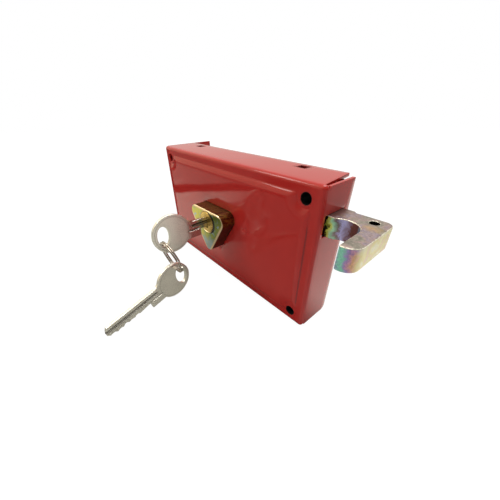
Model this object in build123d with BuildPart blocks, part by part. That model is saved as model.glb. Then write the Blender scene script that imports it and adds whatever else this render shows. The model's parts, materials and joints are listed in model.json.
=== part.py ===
from build123d import *
import math
import os

# Surface-mounted door lock with a sliding hook bolt, a key cylinder and two keys on a split ring.
# Millimetres. The origin is the centre of the four fixing holes, on the plane that meets the door.
# X runs along the case towards the hook, Y from the front to the door, and Z up.

# Case, folded from one sheet
case_width = 140.0
case_height = 80.0
case_depth = 26.0
sheet = 1.5
bend_radius = 2.0
right_wall_depth = 23.0
left_flange_depth = 41.0
side_drop = 0.5
seam_gap = 0.4
wedge_opening = 2.6
wall_corner_radius = 3.0
panel_rise = 1.0
panel_inset = 6.0
panel_step = 0.8
scallop_radius = 8.5

# Fixing holes and their stepped spacers
hole_radius = 2.75
hole_inset_x = 8.5
hole_inset_z = 7.0
spacer_radius = 4.5
spacer_end_radius = 3.8
spacer_fit = 0.1

# Back plate, held on the spacers' steps and by tabs in square holes
plate_thickness = 1.5
plate_setback = 4.95
plate_gap = 0.3
tab_hole_width = 5.5
tab_hole_depth = 5.0
tab_width = 4.5
tab_short_of_face = 0.9
tab_left_x = -50.0
tab_right_x = 44.0

# Cylinder, a rounded triangle with its narrow end down
cylinder_x = -2.5
cylinder_z = 3.5
cylinder_length = 22.8
cylinder_back_gap = 7.05
corner_circle_x = 12.0
corner_circle_drop = 5.0
corner_circle_radius = 5.0
top_above_axis = 8.2
bottom_below_axis = 20.4
bottom_circle_radius = 4.5
face_chamfer = 0.35
cover_hole_clearance = 0.25

# Plug, its keyway and its tail
plug_radius = 6.8
plug_running_clearance = 0.08
plug_behind_body = 2.3
mouth_chamfer = 0.3
clip_groove_radius = 5.8
clip_thickness = 0.8
clip_radius = 9.0
clip_mouth = 9.0
clip_clearance = 0.05
tail_square = 3.6
journal_radius = 1.7
running_clearance = 0.05

# Keys
key_length = 58.2
key_thickness = 2.2
bow_radius = 11.8
bow_hole_along = 7.2
bow_hole_across = 12.6
bow_hole_beyond_centre = 5.4
blade_half_width = 3.9
blade_crest = 3.3
lug_start = 27.3
lug_end = 35.5
lug_depth = 7.0
lug_bevel = 1.0
tip_lower = 0.9
tip_lower_bevel = 1.3
tip_upper = 1.0
tip_upper_bevel = 1.8
crest_setback = 0.1
neck_run_lower = 2.5
neck_run_upper = 1.5
key_reach = 22.5
keyway_clearance = 0.15
groove_width = 1.6
groove_depth = 0.55
groove_height = 0.9
groove_end = 33.0
lower_groove_height = -1.9
lower_groove_start = 27.9
lower_groove_end = 37.0

# Pins below the plug
pin_count = 5
pin_pitch = 3.6
first_pin_behind_face = 4.7
pin_radius = 1.4
pin_bore_clearance = 0.05
pin_tip_clearance = 0.15
pin_inside_plug = 0.2
driver_length = 5.0
driver_below_plug = 0.15
spring_wall = 0.4
spring_side_clearance = 0.1
cut_depths = [2.5, 2.9, 2.2, 2.7, 2.0]
cut_flat = 0.5
strip_width = 3.3
strip_height = 1.3
strip_end_margin = 2.0

# Cylinder bracket behind the front, its rivets and the cylinder's screws
bracket_thickness = 2.0
bracket_rivet_x = 26.2
bracket_rivet_drop = 22.6
bracket_lobe_radius = 4.5
front_rivet_radius = 1.25
front_rivet_head = 1.6
front_rivet_proud = 0.35
rivet_tail_height = 0.9
flange_half_width = 21.0
flange_above_axis = 10.9
flange_below_axis = 20.5
flange_thickness = 3.0
screw_x = 18.3
screw_above_axis = 7.6
screw_below_axis = 17.5
screw_radius = 1.5
screw_head_radius = 2.5
screw_head_height = 1.8
screw_slot = 0.7
fastener_clearance = 0.05

# Hook bolt
bolt_depth = 13.0
bolt_back_gap = 1.05
bolt_thickness = 10.0
bolt_below_spacers = 1.9
bolt_tail_inset = 20.0
hook_reach = 22.5
hook_shoulder = 5.5
hook_shoulder_step = 1.2
arm_width = 6.8
arm_ahead = 18.9
throat_radius = 7.0
throat_ahead = 5.0
hook_corner_radius = 3.5
hook_nose_radius = 5.5
tip_round = 0.9
eye_radius = 2.0
eye_inset_x = 6.3
eye_inset_y = 5.7
bolt_clearance = 0.3
slot_front_gap = 1.0
slot_back_gap = 0.5
bolt_edge_round = 0.5

# Rack and pinion
gear_module = 0.8
pinion_teeth = 11
pinion_turn = 180.0
backlash = 0.5
pressure_angle = 20.0
addendum_factor = 0.8
dedendum_factor = 1.25
pinion_width = 2.9
pinion_end_gap = 0.3
rack_width = 3.4
rack_teeth_to_spare = 3
rack_plain_end = 6.2
rack_screw_radius = 1.0
rack_screw_head = 1.6
rack_screw_head_height = 1.2
rack_screw_grip = 5.0

# Bolt guides, stop pin, leaf spring and tail bush
guide_plate_thickness = 3.0
guide_plate_margin_top = 1.4
guide_plate_margin_bottom = 8.0
guide_plate_margin_y = 2.6
guide_x = -38.0
guide_length = 12.0
guide_sheet = 1.5
guide_foot = 7.5
guide_rivet_radius = 1.5
guide_rivet_head = 2.6
guide_rivet_head_height = 1.1
stop_pin_x = 38.0
stop_pin_radius = 2.0
stop_pin_grip = 8.0
stop_pin_past_plate = 0.4
stop_slot_clearance = 0.3
leaf_thickness = 0.5
leaf_width = 8.0
leaf_touch_x = -10.0
leaf_free_end = 8.0
leaf_lift = 2.2
leaf_rivet_radius = 1.2
leaf_rivet_head = 2.2
bush_flange_radius = 3.6
bush_flange = 0.9
bush_barrel_radius = 3.0
bush_past_plate = 0.5

# Split ring of two turns of round wire, and how it hangs
ring_wire_radius = 0.5
ring_mean_radius = 10.5
ring_turn_gap = 0.45
ring_crossing = 15.0
ring_lean = 13.0
ring_hole_clearance = 0.9
spare_key_pitch = 10.7
spare_key_turn = 9.7

# Places worked out from the sizes above
half_width = case_width / 2
half_height = case_height / 2
front_y = -case_depth
panel_y = front_y - panel_rise
inner_front_y = front_y + sheet
panel_inner_y = panel_y + sheet
hole_x = half_width - hole_inset_x
hole_z = half_height - hole_inset_z
corner_holes = [(x, z) for x in (-hole_x, hole_x) for z in (-hole_z, hole_z)]
plate_back_y = -plate_setback
plate_front_y = plate_back_y - plate_thickness
tab_places = [(x, (plate_front_y + plate_back_y) / 2) for x in (tab_left_x, tab_right_x)]
body_back_y = plate_front_y - cylinder_back_gap
face_y = body_back_y - cylinder_length
key_tip_y = face_y + key_reach
bore_radius = plug_radius + plug_running_clearance
plug_back_y = body_back_y + plug_behind_body
clip_front_y = body_back_y + clip_clearance
bracket_back_y = panel_inner_y + bracket_thickness
flange_back_y = bracket_back_y + flange_thickness
bolt_back_y = plate_front_y - bolt_back_gap
bolt_front_y = bolt_back_y - bolt_depth
bolt_top_z = hole_z - spacer_radius - bolt_below_spacers
bolt_bottom_z = bolt_top_z - bolt_thickness
bolt_tail_x = -half_width + bolt_tail_inset
bolt_middle_y = (bolt_front_y + bolt_back_y) / 2
bolt_middle_z = (bolt_bottom_z + bolt_top_z) / 2
hook_end_x = half_width + hook_reach
arm_inner_x = hook_end_x - arm_width
arm_tip_y = bolt_front_y - arm_ahead
throat_centre_x = arm_inner_x - throat_radius
throat_centre_y = bolt_front_y - throat_ahead
eye_y = bolt_back_y - eye_inset_y
pitch_radius = gear_module * pinion_teeth / 2
bolt_travel = pitch_radius * math.radians(pinion_turn)
tooth_pitch = math.pi * gear_module
addendum = addendum_factor * gear_module
dedendum = dedendum_factor * gear_module
rack_root_z = cylinder_z + pitch_radius + dedendum
pinion_front_y = plug_back_y + pinion_end_gap
pinion_back_y = pinion_front_y + pinion_width
rack_middle_y = (pinion_front_y + pinion_back_y) / 2
pin_places = [face_y + first_pin_behind_face + pin_pitch * i for i in range(pin_count)]
pin_tip_z = cylinder_z - blade_crest - pin_tip_clearance
lower_pin_end_z = cylinder_z - plug_radius + pin_inside_plug
driver_top_z = cylinder_z - plug_radius - driver_below_plug
strip_top_z = cylinder_z - bottom_below_axis + strip_height
bow_centre = key_length - bow_radius
bow_hole_centre = bow_centre + bow_hole_beyond_centre
wire_in_hole = bow_hole_across / 2 - ring_wire_radius - ring_hole_clearance


def front_plane(y):
    """Plane facing the front at depth y, with X to the right and Z up."""
    return Plane.XZ.offset(-y)


def cylinder_outline(y, grow=0.0):
    """Rounded triangle round the plug's axis at depth y, grown outwards by grow."""
    with BuildSketch(front_plane(y)) as outline:
        top_z = cylinder_z + top_above_axis - corner_circle_drop
        bottom_z = cylinder_z - bottom_below_axis + bottom_circle_radius
        with Locations((cylinder_x - corner_circle_x, top_z), (cylinder_x + corner_circle_x, top_z)):
            Circle(corner_circle_radius + grow)
        with Locations((cylinder_x, bottom_z)):
            Circle(bottom_circle_radius + grow)
        make_hull()
    return outline.sketch


def round_bar(centres, y_start, y_end, radius, mode=Mode.ADD):
    """Round bars along Y at the given (x, z) centres, from one depth to another."""
    with BuildSketch(front_plane(y_start)) as ends:
        with Locations(*centres):
            Circle(radius)
    extrude(ends.sketch, amount=y_start - y_end, mode=mode)


def upright_bar(centres, z_start, z_end, radius, mode=Mode.ADD):
    """Round bars along Z at the given (x, y) centres, from one height to another."""
    with BuildSketch(Plane.XY.offset(z_start)) as ends:
        with Locations(*centres):
            Circle(radius)
    extrude(ends.sketch, amount=z_end - z_start, mode=mode)


def block(x_range, y_range, z_range, mode=Mode.ADD):
    """Rectangular block between two limits on each axis."""
    (x0, x1), (y0, y1), (z0, z1) = x_range, y_range, z_range
    with BuildSketch(Plane.XY.offset(z0)) as base:
        with Locations(((x0 + x1) / 2, (y0 + y1) / 2)):
            Rectangle(x1 - x0, y1 - y0)
    extrude(base.sketch, amount=z1 - z0, mode=mode)


def finish(part, name):
    """Label a piece and write it to its own STEP file."""
    part.label = name
    export_step(part, f"parts/{name}.step")


os.makedirs("parts", exist_ok=True)

# Cover: front, top, bottom and right wall, with the long left flange that wraps the door's edge
past = case_depth + left_flange_depth
with BuildPart() as case_cover:
    with BuildSketch(front_plane(front_y)):
        Rectangle(case_width, case_height)
    extrude(amount=-left_flange_depth)
    fillet(case_cover.faces().sort_by(Axis.Y)[0].edges(), bend_radius)
    with BuildSketch(front_plane(inner_front_y)):
        Rectangle(case_width - 2 * sheet, case_height - 2 * sheet)
    extrude(amount=-left_flange_depth, mode=Mode.SUBTRACT)
    block((-half_width + sheet, half_width), (0, past), (-half_height, half_height), Mode.SUBTRACT)
    wall_back_y = front_y + right_wall_depth
    block((half_width - sheet, half_width), (wall_back_y, 0), (-half_height, half_height), Mode.SUBTRACT)
    for end in (-1, 1):
        drop_z = sorted((end * half_height, end * (half_height - side_drop)))
        skin_z = sorted((end * half_height, end * (half_height - sheet)))
        behind_bend = (front_y + bend_radius, 0)
        block((half_width - sheet, half_width), behind_bend, drop_z, Mode.SUBTRACT)
        seam_x = -half_width + sheet
        block((seam_x, seam_x + seam_gap), behind_bend, skin_z, Mode.SUBTRACT)
        with BuildSketch(Plane.XY.offset(skin_z[0])):
            with BuildLine():
                wall_x = half_width - sheet
                Polyline((wall_x, behind_bend[0]), (wall_x, 0), (wall_x - wedge_opening, 0), close=True)
            make_face()
        extrude(amount=sheet, mode=Mode.SUBTRACT)
    back_edges = case_cover.edges().filter_by(Axis.X).filter_by_position(Axis.Y, wall_back_y, wall_back_y)
    fillet(back_edges.group_by(Axis.Z)[0], wall_corner_radius)
    with BuildSketch(front_plane(front_y)) as panel:
        Rectangle(case_width - 2 * panel_inset, case_height - 2 * panel_inset)
        with Locations(*corner_holes):
            Circle(scallop_radius, mode=Mode.SUBTRACT)
    extrude(amount=panel_rise)
    chamfer(case_cover.faces().sort_by(Axis.Y)[0].outer_wire().edges(), panel_step)
    with BuildSketch(front_plane(inner_front_y)):
        inset = 2 * (panel_inset + panel_step)
        Rectangle(case_width - inset, case_height - inset)
        with Locations(*corner_holes):
            Circle(scallop_radius + panel_step, mode=Mode.SUBTRACT)
    extrude(amount=panel_rise, mode=Mode.SUBTRACT)
    round_bar(corner_holes, panel_y, inner_front_y, hole_radius, Mode.SUBTRACT)
    rivet_places = [(cylinder_x - bracket_rivet_x, cylinder_z), (cylinder_x + bracket_rivet_x, cylinder_z),
                    (cylinder_x, cylinder_z - bracket_rivet_drop)]
    round_bar(rivet_places, panel_y, inner_front_y, front_rivet_radius, Mode.SUBTRACT)
    cylinder_opening = cylinder_outline(panel_y, cover_hole_clearance)
    extrude(cylinder_opening, amount=panel_y - inner_front_y, mode=Mode.SUBTRACT)
    with BuildSketch(Plane.XY.offset(-half_height)):
        with Locations(*tab_places):
            Rectangle(tab_hole_width, tab_hole_depth)
    extrude(amount=case_height, mode=Mode.SUBTRACT)
    slot_y = (bolt_front_y - slot_front_gap, bolt_back_y + slot_back_gap)
    slot_z = (bolt_bottom_z - bolt_clearance, bolt_top_z + bolt_clearance)
    block((half_width - 2 * sheet, half_width), slot_y, slot_z, Mode.SUBTRACT)
finish(case_cover.part, "case_cover")

# Spacers that carry the fixing screws through the case, stepped to hold the back plate
with BuildPart() as fixing_spacers:
    round_bar(corner_holes, inner_front_y, plate_front_y, spacer_radius)
    round_bar(corner_holes, plate_front_y, 0, spacer_end_radius)
    round_bar(corner_holes, inner_front_y, 0, hole_radius, Mode.SUBTRACT)
finish(fixing_spacers.part, "fixing_spacers")

# Back plate with its four tabs, the stop slot and the holes for what it carries
guide_rivet_places = [(guide_x, bolt_top_z + bolt_clearance + guide_sheet + guide_foot / 2),
                      (guide_x, bolt_bottom_z - bolt_clearance - guide_sheet - guide_foot / 2)]
with BuildPart() as back_plate:
    plate_x = half_width - sheet - plate_gap
    plate_z = half_height - sheet - plate_gap
    block((-plate_x, plate_x), (plate_front_y, plate_back_y), (-plate_z, plate_z))
    tab_z = half_height - tab_short_of_face
    for tab_x, tab_y in tab_places:
        tab_span = (tab_x - tab_width / 2, tab_x + tab_width / 2)
        block(tab_span, (plate_front_y, plate_back_y), (-tab_z, tab_z))
    round_bar(corner_holes, plate_front_y, plate_back_y, spacer_end_radius + spacer_fit, Mode.SUBTRACT)
    round_bar([(cylinder_x, cylinder_z)], plate_front_y, plate_back_y, bush_barrel_radius, Mode.SUBTRACT)
    round_bar(guide_rivet_places, plate_front_y, plate_back_y, guide_rivet_radius, Mode.SUBTRACT)
    with BuildSketch(front_plane(plate_front_y)):
        with Locations((stop_pin_x - bolt_travel / 2, bolt_middle_z)):
            slot_height = 2 * (stop_pin_radius + stop_slot_clearance)
            SlotOverall(bolt_travel + slot_height, slot_height)
    extrude(amount=-plate_thickness, mode=Mode.SUBTRACT)
finish(back_plate.part, "back_plate")

# Bracket riveted behind the front, which the cylinder's flange is screwed to
screw_places = [(cylinder_x + side * screw_x, cylinder_z + z)
                for side in (-1, 1) for z in (screw_above_axis, -screw_below_axis)]
with BuildPart() as cylinder_bracket:
    with BuildSketch(front_plane(panel_inner_y)):
        with Locations(*rivet_places, *screw_places):
            Circle(bracket_lobe_radius)
        make_hull()
    extrude(amount=-bracket_thickness)
    extrude(cylinder_opening, amount=-case_depth, mode=Mode.SUBTRACT)
    round_bar(rivet_places, panel_inner_y, bracket_back_y, front_rivet_radius, Mode.SUBTRACT)
    round_bar(screw_places, panel_inner_y, bracket_back_y, screw_radius + fastener_clearance, Mode.SUBTRACT)
finish(cylinder_bracket.part, "cylinder_bracket")

with BuildPart() as bracket_rivets:
    shank_radius = front_rivet_radius - fastener_clearance
    round_bar(rivet_places, panel_y - front_rivet_proud, bracket_back_y, shank_radius)
    round_bar(rivet_places, panel_y - front_rivet_proud, panel_y, front_rivet_head)
    chamfer(bracket_rivets.faces().group_by(Axis.Y)[0].edges(), front_rivet_proud / 2)
    round_bar(rivet_places, bracket_back_y, bracket_back_y + rivet_tail_height, front_rivet_head)
finish(bracket_rivets.part, "bracket_rivets")

# Cylinder body: one piece from the guard face to the back, with a square flange behind the front
with BuildPart() as cylinder_body:
    extrude(cylinder_outline(face_y), amount=-cylinder_length)
    chamfer(cylinder_body.faces().sort_by(Axis.Y)[0].edges(), face_chamfer)
    flange_z = (cylinder_z - flange_below_axis, cylinder_z + flange_above_axis)
    flange_x = (cylinder_x - flange_half_width, cylinder_x + flange_half_width)
    block(flange_x, (bracket_back_y, flange_back_y), flange_z)
    round_bar([(cylinder_x, cylinder_z)], face_y, body_back_y, bore_radius, Mode.SUBTRACT)
    mouth = cylinder_body.faces().sort_by(Axis.Y)[0].inner_wires()[0].edges()
    chamfer(mouth, mouth_chamfer)
    round_bar(screw_places, bracket_back_y, flange_back_y, screw_radius + fastener_clearance, Mode.SUBTRACT)
    chamber_bottom_z = cylinder_z - bottom_below_axis
    pin_centres = [(cylinder_x, y) for y in pin_places]
    chamber_radius = pin_radius + pin_bore_clearance
    upright_bar(pin_centres, chamber_bottom_z, cylinder_z - plug_radius / 2, chamber_radius, Mode.SUBTRACT)
    strip_y = (face_y + strip_end_margin, body_back_y - strip_end_margin)
    strip_x = (cylinder_x - strip_width / 2, cylinder_x + strip_width / 2)
    block(strip_x, strip_y, (chamber_bottom_z, strip_top_z), Mode.SUBTRACT)
finish(cylinder_body.part, "cylinder_body")

with BuildPart() as cylinder_screws:
    round_bar(screw_places, panel_inner_y, flange_back_y, screw_radius)
    round_bar(screw_places, flange_back_y, flange_back_y + screw_head_height, screw_head_radius)
    with BuildSketch(front_plane(flange_back_y + screw_head_height)):
        with Locations(*screw_places):
            Rectangle(2 * screw_head_radius, screw_slot)
    extrude(amount=screw_head_height / 2, mode=Mode.SUBTRACT)
finish(cylinder_screws.part, "cylinder_screws")

# Strip that closes the pin chambers from below
with BuildPart() as chamber_strip:
    block(strip_x, strip_y, (chamber_bottom_z + fastener_clearance, strip_top_z))
finish(chamber_strip.part, "chamber_strip")

# Plug, with the ward that runs in the key's groove
keyway_end_y = key_tip_y + keyway_clearance * 2
with BuildPart() as cylinder_plug:
    round_bar([(cylinder_x, cylinder_z)], face_y, plug_back_y, plug_radius)
    chamfer(cylinder_plug.faces().sort_by(Axis.Y)[0].edges(), mouth_chamfer / 2)
    with BuildSketch(front_plane(clip_front_y - clip_clearance)):
        with Locations((cylinder_x, cylinder_z)):
            Circle(plug_radius)
            Circle(clip_groove_radius, mode=Mode.SUBTRACT)
    extrude(amount=-(clip_thickness + 2 * clip_clearance), mode=Mode.SUBTRACT)
    with BuildSketch(front_plane(face_y)):
        with Locations((cylinder_x, cylinder_z)):
            keyway_width = key_thickness + 2 * keyway_clearance
            Rectangle(keyway_width, 2 * (blade_half_width + keyway_clearance))
        ward_width = groove_width - 2 * keyway_clearance
        ward_reach = groove_depth - keyway_clearance
        with Locations((cylinder_x + key_thickness / 2, cylinder_z + groove_height)):
            Rectangle(2 * ward_reach, ward_width, mode=Mode.SUBTRACT)
    extrude(amount=face_y - keyway_end_y, mode=Mode.SUBTRACT)
    upright_bar(pin_centres, cylinder_z - plug_radius, cylinder_z - blade_half_width, chamber_radius,
                Mode.SUBTRACT)
    with BuildSketch(front_plane(plug_back_y)):
        with Locations((cylinder_x, cylinder_z)):
            Rectangle(tail_square, tail_square)
    extrude(amount=plug_back_y - pinion_back_y)
    round_bar([(cylinder_x, cylinder_z)], pinion_back_y, plate_back_y, journal_radius)
finish(cylinder_plug.part, "cylinder_plug")

# Lower pins turn with the plug; drivers and springs stay in the body
with BuildPart() as lower_pins:
    upright_bar(pin_centres, lower_pin_end_z, pin_tip_z, pin_radius)
    chamfer(lower_pins.faces().group_by(Axis.Z)[-1].edges(), pin_radius / 2)
finish(lower_pins.part, "lower_pins")

with BuildPart() as driver_pins:
    upright_bar(pin_centres, driver_top_z - driver_length, driver_top_z, pin_radius)
finish(driver_pins.part, "driver_pins")

with BuildPart() as pin_springs:
    spring_radius = pin_radius - spring_side_clearance
    spring_z = (strip_top_z, driver_top_z - driver_length)
    upright_bar(pin_centres, *spring_z, spring_radius)
    upright_bar(pin_centres, *spring_z, spring_radius - spring_wall, Mode.SUBTRACT)
finish(pin_springs.part, "pin_springs")

with BuildPart() as plug_clip:
    with BuildSketch(front_plane(clip_front_y)):
        with Locations((cylinder_x, cylinder_z)):
            Circle(clip_radius)
            Circle(clip_groove_radius + clip_clearance, mode=Mode.SUBTRACT)
        with Locations((cylinder_x, cylinder_z - clip_radius)):
            Rectangle(clip_mouth, 2 * clip_radius, mode=Mode.SUBTRACT)
    extrude(amount=-clip_thickness)
finish(plug_clip.part, "plug_clip")


# Pinion and rack with straight-sided teeth, one pinion tooth upright in a space of the rack
def tooth_half_width(height):
    """Half the thickness of a tooth at a height above its pitch line."""
    slope = math.tan(math.radians(pressure_angle))
    return tooth_pitch / 4 - backlash / 4 - height * slope


tip_half, root_half = tooth_half_width(addendum), tooth_half_width(-dedendum)
with BuildPart() as drive_pinion:
    with BuildSketch(front_plane(pinion_front_y)):
        with Locations((cylinder_x, cylinder_z)):
            Circle(pitch_radius - dedendum)
            with PolarLocations(0, pinion_teeth, start_angle=90):
                tip, root = pitch_radius + addendum, pitch_radius - dedendum
                Polygon((root - addendum, -root_half), (root, -root_half), (tip, -tip_half),
                        (tip, tip_half), (root, root_half), (root - addendum, root_half))
            Rectangle(tail_square + 2 * running_clearance, tail_square + 2 * running_clearance,
                      mode=Mode.SUBTRACT)
    extrude(amount=-pinion_width)
finish(drive_pinion.part, "drive_pinion")

rack_teeth = math.ceil(pinion_teeth * pinion_turn / 360) + 2 * rack_teeth_to_spare
rack_left_x = cylinder_x - rack_teeth_to_spare * tooth_pitch - rack_plain_end
rack_right_x = rack_left_x + rack_teeth * tooth_pitch + 2 * rack_plain_end
first_tooth_x = rack_left_x + rack_plain_end + tooth_pitch / 2
rack_screw_places = [(rack_left_x + rack_plain_end / 2, rack_middle_y),
                     (rack_right_x - rack_plain_end / 2, rack_middle_y)]
with BuildPart() as bolt_rack:
    with BuildSketch(front_plane(rack_middle_y - rack_width / 2)):
        with Locations(((rack_left_x + rack_right_x) / 2, (rack_root_z + bolt_bottom_z) / 2)):
            Rectangle(rack_right_x - rack_left_x, bolt_bottom_z - rack_root_z)
        with Locations(*[(first_tooth_x + tooth_pitch * i, rack_root_z) for i in range(rack_teeth)]):
            Polygon((-root_half, 0), (-tip_half, -dedendum - addendum), (tip_half, -dedendum - addendum),
                    (root_half, 0))
    extrude(amount=-rack_width)
    upright_bar(rack_screw_places, rack_root_z, bolt_bottom_z, rack_screw_radius + fastener_clearance,
                Mode.SUBTRACT)
finish(bolt_rack.part, "bolt_rack")

with BuildPart() as rack_screws:
    upright_bar(rack_screw_places, rack_root_z, bolt_bottom_z + rack_screw_grip, rack_screw_radius)
    upright_bar(rack_screw_places, rack_root_z - rack_screw_head_height, rack_root_z, rack_screw_head)
    with BuildSketch(Plane.XY.offset(rack_root_z - rack_screw_head_height)):
        with Locations(*rack_screw_places):
            Rectangle(2 * rack_screw_head, screw_slot)
    extrude(amount=rack_screw_head_height / 2, mode=Mode.SUBTRACT)
finish(rack_screws.part, "rack_screws")

# Hook bolt: a flat bar whose end turns to the front and leaves a round throat behind the arm
with BuildPart() as hook_bolt:
    with BuildSketch(Plane.XY.offset(bolt_bottom_z)) as hook:
        shoulder_x = half_width + hook_shoulder
        hook_back_y = bolt_back_y - hook_shoulder_step
        with BuildLine():
            Polyline((bolt_tail_x, bolt_front_y), (bolt_tail_x, bolt_back_y), (shoulder_x, bolt_back_y),
                     (shoulder_x + hook_shoulder_step, hook_back_y), (hook_end_x, hook_back_y),
                     (hook_end_x, arm_tip_y), (arm_inner_x, arm_tip_y), (arm_inner_x, throat_centre_y),
                     (throat_centre_x, throat_centre_y), (throat_centre_x, bolt_front_y), close=True)
        make_face()
        with Locations((throat_centre_x, throat_centre_y)):
            Circle(throat_radius, mode=Mode.SUBTRACT)
        corners = hook.vertices().group_by(Axis.X)[-1].sort_by(Axis.Y)
        fillet(corners[-1], hook_corner_radius)
        nose = hook.vertices().group_by(Axis.X)[-1].sort_by(Axis.Y)
        fillet(nose[0], hook_nose_radius)
        tip_corner = hook.vertices().group_by(Axis.Y)[0].sort_by(Axis.X)
        fillet(tip_corner[0], tip_round)
    extrude(amount=bolt_thickness)
    faces = hook_bolt.faces().filter_by(Axis.Z)
    outside_edges = faces.edges().filter_by_position(Axis.X, half_width, hook_end_x + bolt_edge_round)
    chamfer(outside_edges, bolt_edge_round)
    eye_place = [(hook_end_x - eye_inset_x, eye_y)]
    upright_bar(eye_place, bolt_bottom_z, bolt_top_z, eye_radius, Mode.SUBTRACT)
    screw_tops = (bolt_bottom_z, bolt_bottom_z + rack_screw_grip + fastener_clearance)
    upright_bar(rack_screw_places, *screw_tops, rack_screw_radius + fastener_clearance, Mode.SUBTRACT)
    stop_pin_place = [(stop_pin_x, bolt_middle_z)]
    round_bar(stop_pin_place, bolt_back_y - stop_pin_grip, bolt_back_y, stop_pin_radius, Mode.SUBTRACT)
finish(hook_bolt.part, "hook_bolt")

with BuildPart() as stop_pin:
    pin_ends = (bolt_back_y - stop_pin_grip, plate_back_y + stop_pin_past_plate)
    round_bar(stop_pin_place, *pin_ends, stop_pin_radius)
finish(stop_pin.part, "stop_pin")

# Guides: a thick plate inside the bolt's slot, and a strap round the bolt's tail
with BuildPart() as slot_guide_plate:
    wall_inner_x = half_width - sheet
    guide_y = (bolt_front_y - guide_plate_margin_y, bolt_back_y + plate_gap)
    guide_z = (bolt_bottom_z - guide_plate_margin_bottom, bolt_top_z + guide_plate_margin_top)
    block((wall_inner_x - guide_plate_thickness, wall_inner_x), guide_y, guide_z)
    guide_hole_y = (bolt_front_y - bolt_clearance, bolt_back_y + plate_gap)
    block((wall_inner_x - guide_plate_thickness, wall_inner_x), guide_hole_y, slot_z, Mode.SUBTRACT)
finish(slot_guide_plate.part, "slot_guide_plate")

with BuildPart() as tail_guide:
    guide_span = (guide_x - guide_length / 2, guide_x + guide_length / 2)
    strap_front_y = bolt_front_y - bolt_clearance - guide_sheet
    strap_z = (slot_z[0] - guide_sheet, slot_z[1] + guide_sheet)
    block(guide_span, (strap_front_y, plate_front_y), strap_z)
    feet_z = (strap_z[0] - guide_foot, strap_z[1] + guide_foot)
    block(guide_span, (plate_front_y - guide_sheet, plate_front_y), feet_z)
    block(guide_span, (strap_front_y + guide_sheet, plate_front_y), slot_z, Mode.SUBTRACT)
    round_bar(guide_rivet_places, plate_front_y - guide_sheet, plate_front_y, guide_rivet_radius,
              Mode.SUBTRACT)
    leaf_rivet_place = [(guide_x, bolt_middle_y)]
    upright_bar(leaf_rivet_place, slot_z[1], strap_z[1], leaf_rivet_radius, Mode.SUBTRACT)
finish(tail_guide.part, "tail_guide")

with BuildPart() as guide_rivets:
    foot_front_y = plate_front_y - guide_sheet
    round_bar(guide_rivet_places, foot_front_y, plate_back_y, guide_rivet_radius - fastener_clearance)
    round_bar(guide_rivet_places, foot_front_y - guide_rivet_head_height, foot_front_y, guide_rivet_head)
    round_bar(guide_rivet_places, plate_back_y, plate_back_y + guide_rivet_head_height, guide_rivet_head)
    chamfer(guide_rivets.faces().group_by(Axis.Y)[-1].edges(), guide_rivet_head_height / 2)
finish(guide_rivets.part, "guide_rivets")

# Leaf spring that rubs on the bolt's top and holds it where it is put
with BuildPart() as leaf_spring:
    leaf_bottom_z = strap_z[1]
    touch_z = bolt_top_z + fastener_clearance
    with BuildSketch(front_plane(bolt_middle_y - leaf_width / 2)):
        leaf_line = [(guide_span[0], leaf_bottom_z), (guide_span[1], leaf_bottom_z), (leaf_touch_x, touch_z),
                     (leaf_touch_x + leaf_free_end, touch_z + leaf_lift)]
        upper_line = [(x, z + leaf_thickness) for x, z in reversed(leaf_line)]
        with BuildLine():
            Polyline(*leaf_line, *upper_line, close=True)
        make_face()
    extrude(amount=-leaf_width)
    upright_bar(leaf_rivet_place, leaf_bottom_z, leaf_bottom_z + leaf_thickness, leaf_rivet_radius,
                Mode.SUBTRACT)
finish(leaf_spring.part, "leaf_spring")

with BuildPart() as leaf_rivet:
    leaf_top_z = leaf_bottom_z + leaf_thickness
    upright_bar(leaf_rivet_place, slot_z[1], leaf_top_z, leaf_rivet_radius - fastener_clearance)
    upright_bar(leaf_rivet_place, leaf_top_z, leaf_top_z + leaf_rivet_radius, leaf_rivet_head)
    chamfer(leaf_rivet.faces().sort_by(Axis.Z)[-1].edges(), leaf_rivet_radius / 2)
finish(leaf_rivet.part, "leaf_rivet")

# Flanged bush in the back plate, in which the plug's tail turns
with BuildPart() as tail_bush:
    axis_place = [(cylinder_x, cylinder_z)]
    round_bar(axis_place, plate_front_y - bush_flange, plate_front_y, bush_flange_radius)
    round_bar(axis_place, plate_front_y, plate_back_y + bush_past_plate, bush_barrel_radius)
    bush_ends = (plate_front_y - bush_flange, plate_back_y + bush_past_plate)
    round_bar(axis_place, *bush_ends, journal_radius + running_clearance, Mode.SUBTRACT)
finish(tail_bush.part, "tail_bush")


def key_points():
    """Outline of the blade and neck from the tip, with the cuts for the pins on its lower edge."""
    cut_places = [key_tip_y - place for place in reversed(pin_places)]
    lower = [(0, -tip_lower), (tip_lower_bevel, -tip_lower_bevel - tip_lower)]
    for along, depth in zip(cut_places, reversed(cut_depths)):
        crest = along + pin_pitch / 2 - crest_setback
        lower += [(along - cut_flat, -depth), (along + cut_flat, -depth), (crest, -blade_crest)]
    lower += [(lug_start, -cut_depths[0]), (lug_start, -lug_depth), (lug_end - lug_bevel, -lug_depth)]
    lower += [(lug_end + neck_run_lower, -bow_radius / 2), (bow_centre, -bow_radius / 2)]
    upper = [(bow_centre, bow_radius / 2), (lug_end + neck_run_upper, blade_half_width),
             (tip_upper_bevel, blade_half_width), (0, tip_upper)]
    return lower + upper


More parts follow.
